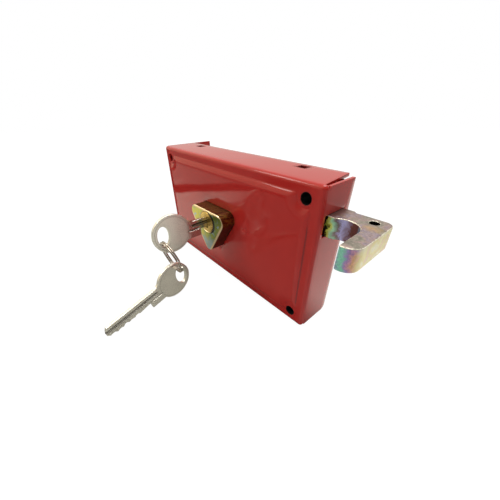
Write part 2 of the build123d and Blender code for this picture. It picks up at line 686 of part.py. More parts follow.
def key_shape(plane):
    """Flat key on a plane through its middle, tip at the plane's origin and bow along its x."""
    with BuildSketch(plane.offset(-key_thickness / 2)) as flat_shape:
        with BuildLine():
            Polyline(*key_points(), close=True)
        make_face()
        with Locations((bow_centre, 0)):
            Circle(bow_radius)
        with Locations((bow_hole_centre, 0)):
            Ellipse(bow_hole_along / 2, bow_hole_across / 2, mode=Mode.SUBTRACT)
    extrude(flat_shape.sketch, amount=key_thickness)
    for side in (-1, 1):
        with BuildSketch(plane.offset(side * key_thickness / 2)) as grooves:
            with Locations((groove_end / 2, groove_height)):
                Rectangle(groove_end, groove_width)
            with Locations(((lower_groove_start + lower_groove_end) / 2, lower_groove_height)):
                Rectangle(lower_groove_end - lower_groove_start, groove_width / 2)
        extrude(grooves.sketch, amount=-side * groove_depth, mode=Mode.SUBTRACT)


# Key in the cylinder, its bow towards the viewer and its cuts down
key_1_plane = Plane(origin=(cylinder_x, key_tip_y, cylinder_z), x_dir=(0, -1, 0), z_dir=(-1, 0, 0))
with BuildPart() as key_1:
    key_shape(key_1_plane)
finish(key_1.part, "key_1")

# Split ring: two turns of wire with one crossing, hung on the lower end of the first key's bow hole
lean = math.radians(ring_lean)
ring_up = Vector(0, -math.sin(lean), math.cos(lean))
ring_top = Vector(cylinder_x, key_tip_y - bow_hole_centre, cylinder_z - wire_in_hole)
ring_centre = ring_top - ring_up * ring_mean_radius
ring_bottom = ring_centre - ring_up * ring_mean_radius
ring_plane = Plane(origin=ring_centre, x_dir=(1, 0, 0), z_dir=Vector(1, 0, 0).cross(ring_up))
turn_offset = ring_wire_radius + ring_turn_gap / 2


def ring_point(degrees, offset):
    """Point on the ring's mean circle, shifted along the ring's axis."""
    angle = math.radians(degrees)
    along, up = ring_mean_radius * math.cos(angle), ring_mean_radius * math.sin(angle)
    return ring_plane.from_local_coords(Vector(along, up, offset))


def ring_tangent(degrees):
    """Direction of travel round the ring at an angle."""
    angle = math.radians(degrees)
    return ring_plane.from_local_coords(Vector(-math.sin(angle), math.cos(angle), 0)) - ring_centre


with BuildPart() as split_ring:
    with BuildLine() as wire_path:
        ends = (ring_crossing, 360 - ring_crossing)
        for offset in (turn_offset, -turn_offset):
            for start, stop in ((ends[0], 180), (180, ends[1])):
                middle = ring_point((start + stop) / 2, offset)
                ThreePointArc(ring_point(start, offset), middle, ring_point(stop, offset))
        halfway = ring_point(0, 0)
        TangentArc(ring_point(ends[1], turn_offset), halfway, tangent=ring_tangent(ends[1]))
        TangentArc(ring_point(ends[0], -turn_offset), halfway, tangent=-ring_tangent(ends[0]))
    wire_start = Plane(origin=ring_point(ends[0], turn_offset), z_dir=ring_tangent(ends[0]))
    with BuildSketch(wire_start):
        Circle(ring_wire_radius)
    sweep(path=wire_path.line)
finish(split_ring.part, "split_ring")

# Second key, standing on its edge beside the case, with the ring in the top of its bow hole
pitch_angle, turn_angle = math.radians(spare_key_pitch), math.radians(spare_key_turn)
spare_along = Vector(-math.sin(turn_angle) * math.cos(pitch_angle),
                     math.cos(turn_angle) * math.cos(pitch_angle), math.sin(pitch_angle))
spare_normal = Vector(math.cos(turn_angle), math.sin(turn_angle), 0)
spare_across = spare_normal.cross(spare_along)
spare_tip = ring_bottom - spare_across * wire_in_hole - spare_along * bow_hole_centre
key_2_plane = Plane(origin=spare_tip, x_dir=spare_along, z_dir=spare_normal)
with BuildPart() as key_2:
    key_shape(key_2_plane)
finish(key_2.part, "key_2")

# Least gap between the two turns, on points along the wire a third of a turn or more apart
ring_wire = wire_path.wire()
samples = 720
wire_points = [ring_wire @ (i / samples) for i in range(samples + 1)]
far_apart = samples // 6
least_distance = min((wire_points[i] - wire_points[j]).length
                     for i in range(samples + 1) for j in range(i + far_apart, samples + 1))
print(f"split ring: least gap to itself {least_distance - 2 * ring_wire_radius:.2f} mm, "
      f"wire {ring_wire.length:.1f} mm long")
print(f"bolt travel {bolt_travel:.3f} mm for {pinion_turn:.0f} degrees of the key")
print(f"ring top {tuple(round(v, 3) for v in ring_top)}, bottom {tuple(round(v, 3) for v in ring_bottom)}")
print(f"second key lowest point {key_2.part.bounding_box().min.Z:.3f}, case bottom {-half_height:.3f}")
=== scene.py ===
import json
import math
from functools import partial

import bpy
import numpy as np
from mathutils import Matrix, Vector
from mathutils.geometry import delaunay_2d_cdt


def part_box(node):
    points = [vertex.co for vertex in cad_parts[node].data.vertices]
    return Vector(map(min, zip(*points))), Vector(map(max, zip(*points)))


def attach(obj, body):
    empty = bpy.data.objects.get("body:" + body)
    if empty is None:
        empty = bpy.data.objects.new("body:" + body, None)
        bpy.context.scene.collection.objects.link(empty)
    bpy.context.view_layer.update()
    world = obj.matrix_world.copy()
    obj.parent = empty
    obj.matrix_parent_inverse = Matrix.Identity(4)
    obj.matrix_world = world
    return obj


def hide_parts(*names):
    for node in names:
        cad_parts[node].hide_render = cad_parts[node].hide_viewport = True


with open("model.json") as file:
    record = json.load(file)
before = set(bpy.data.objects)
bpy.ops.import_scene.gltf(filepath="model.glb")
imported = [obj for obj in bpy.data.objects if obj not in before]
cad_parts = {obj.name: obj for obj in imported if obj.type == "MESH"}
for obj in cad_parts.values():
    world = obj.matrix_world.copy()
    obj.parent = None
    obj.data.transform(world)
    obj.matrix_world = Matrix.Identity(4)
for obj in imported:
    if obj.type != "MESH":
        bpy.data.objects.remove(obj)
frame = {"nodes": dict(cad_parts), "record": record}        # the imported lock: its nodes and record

bl_info = {
    "name": "Hook bolt lock",
    "version": (1, 0, 0),
    "blender": (4, 5, 0),
    "location": "3D View > Sidebar > Lock",
    "description": "Dresses a surface-mounted hook bolt lock with its enamelled case, keys and ring",
    "category": "Object",
}

# Metres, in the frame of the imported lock: X along the case to the hook, Y from front to door, Z up
MM = 0.001
RIGHT, LEFT, BACK, FRONT, UP, DOWN = (1, 0, 0), (-1, 0, 0), (0, 1, 0), (0, -1, 0), (0, 0, 1), (0, 0, -1)
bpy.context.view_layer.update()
COVER_LOW, COVER_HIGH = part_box("case_cover")
SPACER_LOW, SPACER_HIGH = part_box("fixing_spacers")
RIVET_LOW, RIVET_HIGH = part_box("bracket_rivets")
BOLT_LOW, BOLT_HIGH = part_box("hook_bolt")
TOUCHING = 1e-7

# Middle of the plug's face, which the key, the guard and the rivets are placed from
AXIS = Vector((-2.5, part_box("cylinder_plug")[0].y / MM, 3.5)) * MM
# The guard is the hull of three circles, placed from that axis
GUARD_CENTRES = np.array([[-12.0, 3.2], [12.0, 3.2], [0.0, -15.9]]) * MM
GUARD_RADII = np.array([5.0, 5.0, 4.5]) * MM

# Radii of the spacers, fixing holes and rivets, the back plate's tabs in the top and bottom walls, and the
# front of the bolt's slot
SPACER_RADIUS, FIXING_RADIUS = 4.5 * MM, 2.75 * MM
RIVET_HEAD, RIVET_HOLE, RIVET_SHANK = 1.6 * MM, 1.25 * MM, 1.2 * MM
TAB_PLACES, TAB_Y = (-50 * MM, 44 * MM), -5.7 * MM
TAB_HALF_LENGTH, TAB_HALF_DEPTH = 2.75 * MM, 2.5 * MM
SLOT_FRONT_Y = BOLT_HIGH.y - 15.0 * MM

# Sizes of the key in millimetres: places lie along it from its tip, and up from the middle of its bow
BLADE_TOP, CUT_START, CUT_PITCH, CUT_DEPTHS = 3.9, 3.4, 3.6, (2.0, 2.7, 2.2, 2.9, 2.5)
LUG_START, LUG_END, LUG_LOW, NECK_ROUND = 27.3, 34.5, -7.0, 5.0
BOW_CENTRE, BOW_RADIUS, BOW_LINE = 46.4, 11.8, 10.5
HOLE_CENTRE, HOLE_HALF, HOLE_DROP = 51.8, (3.6, 6.3), 4.9
LONG_GROOVE, SHORT_GROOVE = 0.9, -1.9
# The first key's tip inside the plug, and how far the ring leans forward
KEY_TIP = AXIS + Vector((0, 22.5 * MM, 0))
RING_LEAN = math.radians(13.0)

# Shares of an edge's radius at which its quarter circle has turned by one to four quarters
ROUND_ROWS = np.array([0.076, 0.293, 0.617, 1.0])
# Edges that turn by more than this stay sharp
CREASE = math.radians(35.0)

# Tints of what the gloss mirrors: the floor's but for its right side, the room's in front, and all the rest
WARM_LIGHT, WARMEST_LIGHT, PLAIN_LIGHT = "#fffbe9", "#ffefd0", "#fff9f0"


def linear(colour):
    """Linear RGBA of an sRGB hex colour."""
    parts = [int(colour[i:i + 2], 16) / 255 for i in (1, 3, 5)]
    return [c / 12.92 if c <= 0.04045 else ((c + 0.055) / 1.055) ** 2.4 for c in parts] + [1.0]


def length(name, size_mm, description):
    """Blender property for a real size, given in millimetres."""
    return bpy.props.FloatProperty(name=name, description=description, default=size_mm * MM, min=0.0,
                                   subtype="DISTANCE", unit="LENGTH", precision=5)


def colour(name, hex_colour, description):
    """Blender property for a surface colour, given as sRGB hex."""
    return bpy.props.FloatVectorProperty(name=name, description=description, subtype="COLOR", size=4,
                                         min=0.0, max=1.0, default=linear(hex_colour))


def power(name, watts, description):
    """Blender property for a lamp's power."""
    return bpy.props.FloatProperty(name=name, description=description, default=watts, min=0.0, unit="POWER")


class CoverSizes(bpy.types.PropertyGroup):
    """Sizes of the folded sheet cover."""
    sheet: length("Sheet", 1.5, "Thickness of the steel sheet")
    bend: length("Bend radius", 2.0, "Outer radius of every fold")
    rise: length("Panel rise", 1.3, "How far the front panel stands out")
    inset: length("Panel inset", 6.0, "From the case's edge to the panel's edge")
    ridge: length("Ridge width", 4.0, "Width of the pressed slope round the panel")
    scallop: length("Scallop radius", 4.3, "Radius of the flats round the fixing holes")
    flare: length("Scallop slope", 7.0, "Width of the slope from those flats up to the panel")
    droop: length("Left droop", 0.5, "How far the front's left edge falls back")
    droop_width: length("Droop width", 5.5, "Width of the strip that falls back at the left")
    rim: length("Rim round", 0.3, "Rounding of the sheet's cut edges")
    enamel: colour("Enamel", "#bc2d28", "Stove enamel on the case")


class HookSizes(bpy.types.PropertyGroup):
    """Sizes of the hook bolt."""
    edge: length("Edge round", 0.5, "Rounding of the bolt's long edges")
    eye: length("Eye radius", 2.0, "Radius of the hole through the hook")
    throat: length("Throat radius", 7.0, "Radius of the hook's throat")


class KeySizes(bpy.types.PropertyGroup):
    """Sizes of both keys."""
    thickness: length("Thickness", 2.2, "Thickness of the bow")
    thinning: length("Blade thinning", 0.09, "How much lower each side of the blade lies than the bow")
    edge: length("Edge round", 0.3, "Rounding of the key's edges")
    nickel: colour("Nickel", "#ece9dc", "Worn nickel plate of the keys")


class RingSizes(bpy.types.PropertyGroup):
    """Sizes of the split ring."""
    radius: length("Mean radius", 10.5, "Radius of the wire's middle line")
    wire: length("Wire radius", 0.52, "Radius of the round wire")
    gap: length("Gap", 0.1, "Space between the two turns")


class StageSettings(bpy.types.PropertyGroup):
    """Floor, lamps and room."""
    floor: colour("Floor", "#d9d9d7", "Colour of the plain floor")
    key_watts: power("Key lamp", 0.68, "Power of the small lamp at the upper left")
    top_watts: power("Top lamp", 4.5, "Power of the wide lamp overhead")
    room_light: bpy.props.FloatProperty(name="Room light", description="Strength of the light from all round",
                                        default=0.365, min=0.0)


# Shaders

def add_node(tree, kind, sockets=(), stops=(), **settings):
    """Adds a shader node with its settings. The sockets are named, or are a list for those in use, in their
    order. Each takes a value, an output, or a node, which stands for its first output in use. The stops are
    the places and sRGB colours of a ramp."""
    made = tree.nodes.new("ShaderNode" + kind)
    for name, value in settings.items():
        setattr(made, name, value)
    named = isinstance(sockets, dict)
    inputs = [made.inputs[name] for name in sockets] if named else [s for s in made.inputs if s.enabled]
    for socket, value in zip(inputs, sockets.values() if named else sockets):
        if isinstance(value, bpy.types.Node):
            value = next(output for output in value.outputs if output.enabled)
        if isinstance(value, bpy.types.NodeSocket):
            tree.links.new(value, socket)
        else:
            socket.default_value = value
    if stops:
        elements = made.color_ramp.elements
        while len(elements) < len(stops):
            elements.new(0.5)
        for element, (place, shade) in zip(elements, stops):
            element.position = place
            element.color = linear(shade)
    return made


def emptied(owner):
    """A new material or world with its nodes cleared, and the function that adds one to it."""
    owner.use_nodes = True
    owner.node_tree.nodes.clear()
    return owner, partial(add_node, owner.node_tree)


def per(size_mm):
    """Texture scale that makes one feature about size_mm long."""
    return 1 / (size_mm * MM)


def dimmed(shade, amount):
    """A linear colour with its light multiplied by an amount."""
    return [part * amount for part in shade[:3]] + [1.0]


def layered(node, base, *layers):
    """Colour with others laid over it in turn, each by its own share. A text is an sRGB hex colour."""
    base = linear(base) if isinstance(base, str) else base
    for share, shade in layers:
        over = linear(shade) if isinstance(shade, str) else shade
        base = node("Mix", [share, base, over], data_type="RGBA")
    return base


def ramped(node, vector, direction, low, high, start, end):
    """Value that goes smoothly from start to end while a vector's share along a direction goes from low to
    high."""
    share = node("VectorMath", [vector, direction], operation="DOT_PRODUCT")
    return node("MapRange", [share, low, high, start, end], interpolation_type="SMOOTHSTEP")


def red_stove_enamel():
    """Stove enamel on pressed steel: a deep gloss red with faint orange peel and the press's slow waves. Where
    it is marked with painted shade it is dark and dull: inside the holes and along the crease beside the panel."""
    shade = bpy.context.scene.lock_cover.enamel
    material, node = emptied(bpy.data.materials.new("red stove enamel"))
    place = node("TexCoord").outputs["Object"]
    cloud = node("TexNoise", {"Vector": place, "Scale": per(22), "Detail": 3.0, "Roughness": 0.6})
    # Painted shade, read from the corners' attribute: near black and dull inside the holes and along the panel's
    # crease
    grime = node("Attribute", attribute_name="grime").outputs["Fac"]
    base = layered(node, dimmed(shade, 0.92), (cloud, list(shade)), (grime, "#120606"))
    dust = node("TexNoise", {"Vector": place, "Scale": per(0.7), "Detail": 2.0})
    specks = node("MapRange", [dust, 0.68, 0.76, 0.07, 0.2])
    rough = node("Math", [grime, 0.7, specks], operation="MULTIPLY_ADD")
    wave = node("TexNoise", {"Vector": place, "Scale": per(26), "Detail": 1.0})
    wavy = node("Bump", {"Height": wave, "Distance": 0.5 * MM, "Strength": 0.3})
    peel = node("TexNoise", {"Vector": place, "Scale": per(2.2), "Detail": 1.0})
    skin = node("Bump", {"Height": peel, "Distance": 0.02 * MM, "Strength": 0.25, "Normal": wavy})
    shader = node("BsdfPrincipled", {"Base Color": base, "Roughness": rough, "IOR": 1.38, "Normal": skin})
    node("OutputMaterial", {"Surface": shader})
    return material


def yellow_chromate_zinc():
    """Yellow chromated zinc plate: a thin film, which scatters half of the light. Its hue runs along the
    bolt's front from painted shade beside the case over yellow, teal, lavender, brown and teal again to rose
    at the hook. Its top is mottled grey, brown near the case and ochre before the eye, its outer end is pale
    yellow, its edges are rubbed bare and carry a painted highlight, and painted shade darkens the eye."""
    material, node = emptied(bpy.data.materials.new("yellow chromate zinc"))
    texture = node("TexCoord")
    place = texture.outputs["Object"]
    film = node("TexNoise", {"Vector": place, "Scale": per(6), "Detail": 2.5, "Roughness": 0.55,
                             "Distortion": 0.8})
    grain = node("TexNoise", {"Vector": place, "Scale": per(0.9), "Detail": 4.0, "Roughness": 0.75})
    drift = node("MapRange", [film, 0.3, 0.7, -0.06, 0.06])
    mottle = node("MapRange", [grain, 0.3, 0.7, -0.03, 0.03])

    case_side, hook_end = 69 * MM, 93 * MM
    along = node("MapRange", [node("SeparateXYZ", [place]).outputs["X"], case_side, hook_end])
    change = node("Math", [drift, mottle], operation="ADD")
    # The first, dark stop is painted shade on the bolt's front where it goes into the case
    hues = node("ValToRGB", [node("Math", [along, change], operation="ADD")],
                [(0.05, "#1c0d08"), (0.08, "#eafa68"), (0.12, "#e4f48c"), (0.19, "#b4f0cc"),
                 (0.26, "#8a6f6c"), (0.34, "#c6c0f0"), (0.46, "#74453e"), (0.60, "#74453e"),
                 (0.70, "#9cbcd0"), (0.77, "#92dcc0"), (0.81, "#92dcc0"), (0.86, "#ac90cc"),
                 (0.90, "#cf9cb4"), (0.95, "#e2b28a")])
    flecks = node("MapRange", [grain, 0.3, 0.7, 0.72, 1.2])
    front = node("VectorMath", [hues, flecks], operation="SCALE")

    greys = node("ValToRGB", [film], [(0.36, "#857e70"), (0.46, "#9a9083"), (0.53, "#a58c84"),
                                      (0.62, "#978892"), (0.70, "#a9948a")])
    speckles = node("MapRange", [grain, 0.3, 0.7, 0.46, 1.14])
    greyed = node("VectorMath", [greys, speckles], operation="SCALE")
    patch_place = Vector((87.5, -20.0, 26.6)) * MM
    from_patch = node("VectorMath", [place, patch_place], operation="DISTANCE")
    ragged = node("Math", [film, 9 * MM, from_patch], operation="MULTIPLY_ADD")
    ochre = node("MapRange", [ragged, 4.5 * MM, 8.5 * MM, 0.75, 0])
    inward = node("Math", [drift, 0.8, along], operation="MULTIPLY_ADD")
    brown = node("MapRange", [inward, 0.12, 0.26, 0.75, 0])
    top = layered(node, greyed, (ochre, "#b98f45"), (brown, "#5e332b"))

    side = node("ValToRGB", [node("Math", [film, mottle], operation="ADD")],
                [(0.32, "#f7f4dc"), (0.44, "#f4eebc"), (0.54, "#f1e6a6"), (0.62, "#f2dac6"),
                 (0.70, "#f0e6c0")])
    facing = node("SeparateXYZ", [texture.outputs["Normal"]])
    upward = node("Math", [facing.outputs["Z"]], operation="ABSOLUTE")
    flat = node("MapRange", [upward, 0.35, 0.85])
    sideways = node("MapRange", [facing.outputs["X"], 0.75, 0.97])
    at_end = ramped(node, place, RIGHT, 84 * MM, 86 * MM, 0, 1)
    outer = node("Math", [sideways, at_end], operation="MULTIPLY")
    # Rubbed top edges turn near white: worn metal together with a painted highlight
    wear = node("Attribute", attribute_name="wear").outputs["Fac"]
    chipped_and_highlit = node("MapRange", [node("Math", [grain, wear], operation="ADD"), 0.92, 1.06])
    # Painted shade inside the eye
    grime = node("Attribute", attribute_name="grime").outputs["Fac"]
    base = layered(node, front, (outer, side), (flat, top), (chipped_and_highlit, "#f4efd9"), (grime, "#0c0907"))
    rough = node("MapRange", [grain, 0, 1, 0.25, 0.5])
    pits = node("Bump", {"Height": grain, "Distance": 0.05 * MM, "Strength": 0.6})
    shader = node("BsdfPrincipled", {"Base Color": base, "Metallic": 0.5, "Roughness": rough, "Normal": pits})
    node("OutputMaterial", {"Surface": shader})
    return material


def guard_rim(node, middle):
    """How far a place lies outside the guard's three straight sides, in metres, below nought inside them."""
    outside = []
    for first, second in ((0, 1), (1, 2), (2, 0)):
        run = GUARD_CENTRES[second] - GUARD_CENTRES[first]
        reach = np.linalg.norm(run)
        lean = (GUARD_RADII[first] - GUARD_RADII[second]) / reach
        along = run / reach
        across = np.array([along[1], -along[0]])
        if across @ (GUARD_CENTRES[first] - GUARD_CENTRES.mean(0)) < 0:
            across = -across
        facing = lean * along + math.sqrt(1 - lean * lean) * across
        offset = facing @ GUARD_CENTRES[first] + GUARD_RADII[first]
        share = node("VectorMath", [middle, (facing[0], 0, facing[1])], operation="DOT_PRODUCT")
        outside.append(node("Math", [share, float(offset)], operation="SUBTRACT"))
    either = node("Math", outside[:2], operation="MAXIMUM")
    return node("Math", [either, outside[2]], operation="MAXIMUM")


def guard_chromate():
    """Yellow chromate on the cylinder and its guard. The face turns from brass yellow at the left to olive at
    the right and teal below, with blue spots, inside a worn pinkish rim that is partly a painted highlight. A
    painted highlight runs round the plug as a pale lip, with a crescent of painted shadow right of it. The
    sides are smeared bronze, redder below with a painted reflection of the red case, and their front edges
    are worn and pale with a painted highlight."""
    material, node = emptied(bpy.data.materials.new("cylinder chromate"))
    texture = node("TexCoord")
    place = texture.outputs["Object"]
    normal = texture.outputs["Normal"]
    patch = node("TexNoise", {"Vector": place, "Scale": per(4), "Detail": 3.0, "Roughness": 0.6})
    grain = node("TexNoise", {"Vector": place, "Scale": per(1.1), "Detail": 4.0, "Roughness": 0.75})
    drift = node("MapRange", [patch, 0.3, 0.7, -0.45, 0.45])
    rightward = node("Math", [ramped(node, place, RIGHT, -13 * MM, 6 * MM, 0, 1), drift], operation="ADD")
    below = node("Math", [ramped(node, place, UP, -13 * MM, -4 * MM, 1, 0), drift], operation="ADD")
    spots = node("TexNoise", {"Vector": place, "Scale": per(3), "Detail": 1.0, "Distortion": 1.0})
    spotted = node("MapRange", [spots, 0.62, 0.70])

    middle = node("VectorMath", [place, AXIS], operation="SUBTRACT")
    # Worn pinkish rim on the face, partly a painted highlight
    rim = node("MapRange", [guard_rim(node, middle), -1.5 * MM, -1.0 * MM])
    face = layered(node, "#bdb54a", (rightward, "#708029"), (below, "#9cadb0"), (spotted, "#98adc0"),
                   (rim, "#dcbf92"))
    # The pale lip round the plug is a painted highlight; the dark crescent right of it is painted shadow
    flat = node("VectorMath", [middle, (1, 0, 1)], operation="MULTIPLY")
    aside = node("VectorMath", [flat, (2.1 * MM, 0, 0.2 * MM)], operation="SUBTRACT")
    shifted = node("VectorMath", [aside], operation="LENGTH")
    past_crescent = node("MapRange", [shifted, 7.05 * MM, 7.3 * MM])
    radius = node("VectorMath", [flat], operation="LENGTH")
    past_lip = node("MapRange", [radius, 7.0 * MM, 7.15 * MM])
    front = layered(node, "#ecd9a2", (past_lip, layered(node, "#1c120b", (past_crescent, face))))

    drawn = node("Mapping", {"Vector": place, "Scale": (1, 0.45, 1)})
    smear = node("TexNoise", {"Vector": drawn, "Scale": per(3), "Detail": 4.0, "Roughness": 0.7,
                              "Distortion": 0.6})
    bronze = node("ValToRGB", [smear], [(0.34, "#2c170f"), (0.44, "#5c3319"), (0.50, "#7a4c22"),
                                        (0.55, "#8f7434"), (0.60, "#5d4a22"), (0.68, "#70301f")])
    # Painted reflection of the red case on the lower sides, and a painted highlight on the worn front edges
    red_reflection_below = ramped(node, normal, DOWN, 0.0, 0.5, 0, 0.75)
    worn_edge_highlight = ramped(node, normal, FRONT, 0.15, 0.45, 0, 1)
    forward = ramped(node, normal, FRONT, 0.86, 0.97, 0, 1)
    base = layered(node, bronze, (red_reflection_below, "#571a12"), (worn_edge_highlight, "#e6cfa6"), (forward, front))
    rough = node("MapRange", [grain, 0, 1, 0.2, 0.45])
    pits = node("Bump", {"Height": grain, "Distance": 0.1 * MM, "Strength": 0.6})
    shader = node("BsdfPrincipled", {"Base Color": base, "Metallic": 0.85, "Roughness": rough,
                                     "Normal": pits})
    node("OutputMaterial", {"Surface": shader})
    return material


def worn_nickel():
    """Worn nickel plate: warm grey with fine speckle, darker and duller where painted shade lies in the key's
    grooves, and smoother and more of a mirror where use has polished the blade."""
    shade = bpy.context.scene.lock_keys.nickel
    material, node = emptied(bpy.data.materials.new("worn nickel plate"))
    place = node("TexCoord").outputs["Object"]
    grain = node("TexNoise", {"Vector": place, "Scale": per(0.7), "Detail": 3.0, "Roughness": 0.7})
    stain = node("TexNoise", {"Vector": place, "Scale": per(9), "Detail": 2.0})
    tone = node("Math", [stain, 0.5, grain], operation="MULTIPLY_ADD")
    share = node("MapRange", [tone, 0.62, 0.82])
    # Painted shade in the key's grooves, read from the corners' attribute
    grime = node("Attribute", attribute_name="grime").outputs["Fac"]
    base = layered(node, dimmed(shade, 0.84), (share, list(shade)), (grime, "#2b271f"))
    polish = node("Attribute", attribute_name="polish").outputs["Fac"]
    smoothed = node("Math", [polish, -0.2, 0.33], operation="MULTIPLY_ADD")
    rough = node("Math", [grime, 0.3, smoothed], operation="MULTIPLY_ADD")
    metallic = node("Math", [polish, 0.3, 0.7], operation="MULTIPLY_ADD")
    marks = node("Bump", {"Height": grain, "Distance": 0.01 * MM, "Strength": 0.5})
    shader = node("BsdfPrincipled", {"Base Color": base, "Metallic": metallic, "Roughness": rough,
                                     "Normal": marks})
    node("OutputMaterial", {"Surface": shader})
    return material


def spacer_steel():
    """Oxide-black steel of the spacers, red with enamel that has run in at the left end of the case."""
    material, node = emptied(bpy.data.materials.new("black oxide steel"))
    place = node("TexCoord").outputs["Object"]
    specks = node("TexNoise", {"Vector": place, "Scale": per(0.6), "Detail": 3.0})
    leftward = ramped(node, place, RIGHT, -10 * MM, 10 * MM, 1, 0)
    base = layered(node, "#0a0a0b", (specks, "#2c2c2d"), (leftward, "#8c1a17"))
    rough = node("Math", [specks, 0.3, 0.35], operation="MULTIPLY_ADD")
    shader = node("BsdfPrincipled", {"Base Color": base, "Metallic": 0.4, "Roughness": rough})
    node("OutputMaterial", {"Surface": shader})
    return material


def plated_metal(name, light, dark, grain_mm, roughness, brush=(1.0, 1.0, 1.0)):
    """Plated or machined metal: two tones of one colour, with a grain drawn out along one direction."""
    material, node = emptied(bpy.data.materials.new(name))
    place = node("TexCoord").outputs["Object"]
    drawn = node("Mapping", {"Vector": place, "Scale": brush})
    grain = node("TexNoise", {"Vector": drawn, "Scale": per(grain_mm), "Detail": 4.0, "Roughness": 0.65})
    stain = node("TexNoise", {"Vector": place, "Scale": per(7), "Detail": 3.0})
    tone = node("Math", [grain, stain], operation="ADD")
    share = node("MapRange", [tone, 0.75, 1.3])
    base = layered(node, dark, (share, light))
    rough = node("MapRange", [grain, 0.3, 0.7, roughness * 0.75, roughness * 1.3])
    marks = node("Bump", {"Height": grain, "Distance": 0.03 * MM, "Strength": 0.5})
    shader = node("BsdfPrincipled", {"Base Color": base, "Metallic": 1.0, "Roughness": rough,
                                     "Normal": marks})
    node("OutputMaterial", {"Surface": shader})
    return material


# Surfaces

def smooth(share):
    """A share held between nought and one and eased at both ends: three of its squares less two of its
    cubes."""
    share = np.clip(share, 0, 1)
    return share ** 2 * (3 - 2 * share)


def band(value, middle, half):
    """One along the middle of a line, and nought from 1.3 half widths away on."""
    return np.clip(1.3 - abs(value - middle) / half, 0, 1)


def turns(count):
    """Angles spaced evenly round a whole circle."""
    return np.linspace(0, 2 * math.pi, count, endpoint=False)


def arc(centre, radius, start, end, count):
    """Points on a circle from one angle to another, in degrees."""
    angles = np.radians(np.linspace(start, end, count))
    return np.stack([centre[0] + radius * np.cos(angles), centre[1] + radius * np.sin(angles)], 1)


def circle(centre, radius, count):
    """Closed outline of points round a circle."""
    return arc(centre, radius, 0, 360, count + 1)[:-1]


def refined(loop, step):
    """A closed outline with each of its edges divided into pieces no longer than step."""
    loop = np.asarray(loop, float)
    parts = []
    for start, end in zip(loop, np.roll(loop, -1, 0)):
        count = max(1, math.ceil(np.linalg.norm(end - start) / step))
        parts.append(start + (end - start) * np.arange(count)[:, None] / count)
    return np.concatenate(parts)


def ruled(stops, steps):
    """Places along a line, from stop to stop, with a step of its own in each stretch."""
    parts = [np.linspace(a, b, max(2, round((b - a) / step) + 1))[:-1]
             for a, b, step in zip(stops, stops[1:], steps)]
    return np.append(np.concatenate(parts), stops[-1])


def lattice_inside(columns, rows, loops, margin):
    """Points of a grid of columns and rows that lie further than a margin inside closed outlines."""
    across, up = np.meshgrid(columns, rows)
    points = np.stack([across.ravel(), up.ravel()], 1)
    return points[depth_inside(points, loops) > margin]


def depth_inside(points, loops):
    """Distance from points to closed outlines, above nought inside them by the even-odd rule."""
    nearest = np.full(len(points), np.inf)
    crossings = np.zeros(len(points), int)
    x, z = points[:, 0, None], points[:, 1, None]
    for loop in loops:
        start, end = loop, np.roll(loop, -1, 0)
        run = end - start
        share = ((x - start[:, 0]) * run[:, 0] + (z - start[:, 1]) * run[:, 1]) / (run ** 2).sum(1)
        share = np.clip(share, 0, 1)
        gap = np.hypot(x - start[:, 0] - share * run[:, 0], z - start[:, 1] - share * run[:, 1])
        nearest = np.minimum(nearest, gap.min(1))
        spans = (start[:, 1] > z) != (end[:, 1] > z)
        rise = np.where(run[:, 1] == 0, 1, run[:, 1])
        crossing_x = start[:, 0] + (z - start[:, 1]) * run[:, 0] / rise
        crossings += (spans & (x < crossing_x)).sum(1)
    return np.where(crossings % 2 == 1, nearest, -nearest)


def plate_triangles(loops, inner):
    """Triangles over the area between closed outlines, with the inner points as extra corners."""
    corners, edges = [], []
    for loop in loops:
        first = len(corners)
        corners.extend(loop.tolist())
        edges.extend((first + i, first + (i + 1) % len(loop)) for i in range(len(loop)))
    corners.extend(inner.tolist())
    made = delaunay_2d_cdt([Vector(c) for c in corners], edges, [], 0, TOUCHING)
    flat = np.array([tuple(v) for v in made[0]])
    faces = np.array(made[2])
    keep = depth_inside(flat[faces].mean(1), loops) > 0
    return flat, faces[keep]


def inward_rows(loops, distances):
    """Rows of points inside closed outlines, parallel to them at the given distances."""
    rows = []
    for loop in loops:
        along = np.roll(loop, -1, 0) - np.roll(loop, 1, 0)
        across = np.stack([-along[:, 1], along[:, 0]], 1) / np.linalg.norm(along, axis=1)[:, None]
        for distance in distances:
            for side in (-1, 1):
                row = loop + side * distance * across
                depth = depth_inside(row, loops)
                rows.append(row[abs(depth - distance) < 0.12 * distance])
    return np.concatenate(rows)


def rounded(points, loops, half, edge):
    """Half thickness of a plate with rounded edges: it falls by a quarter circle next to each outline."""
    depth = np.clip(depth_inside(points, loops) / edge, 0, 1)
    return half - edge + edge * np.sqrt(1 - (1 - depth) ** 2)


def solid_plate(loops, inner, half_thickness):
    """Closed plate: its two faces are the same triangles at plus and minus half_thickness of each point,
    and one wall joins them along the outlines. Corners come as across, along and out."""
    flat, faces = plate_triangles(loops, inner)
    height = half_thickness(flat)
    corners = np.concatenate([np.column_stack([flat, height]), np.column_stack([flat, -height])])
    sides = np.concatenate([faces[:, [0, 1]], faces[:, [1, 2]], faces[:, [2, 0]]])
    both_ways = np.sort(sides, 1)
    _, place, count = np.unique(both_ways, axis=0, return_inverse=True, return_counts=True)
    rim = sides[count[place.ravel()] == 1]
    other = len(flat)
    wall = np.column_stack([rim[:, 1], rim[:, 0], rim[:, 0] + other, rim[:, 1] + other])
    return corners, faces.tolist() + (faces[:, ::-1] + other).tolist() + wall.tolist()


def swept(path, radius, sides):
    """Round wire along a path of points: at each one a circle in the plane across the path."""
    along = np.gradient(path, axis=0)
    along /= np.linalg.norm(along, axis=1)[:, None]
    flat = np.cross(along, [1.0, 0.0, 0.0])
    flat /= np.linalg.norm(flat, axis=1)[:, None]
    other = np.cross(along, flat)
    turn = turns(sides)[None, :, None]
    return tube(path[:, None] + radius * (np.cos(turn) * flat[:, None] + np.sin(turn) * other[:, None]))


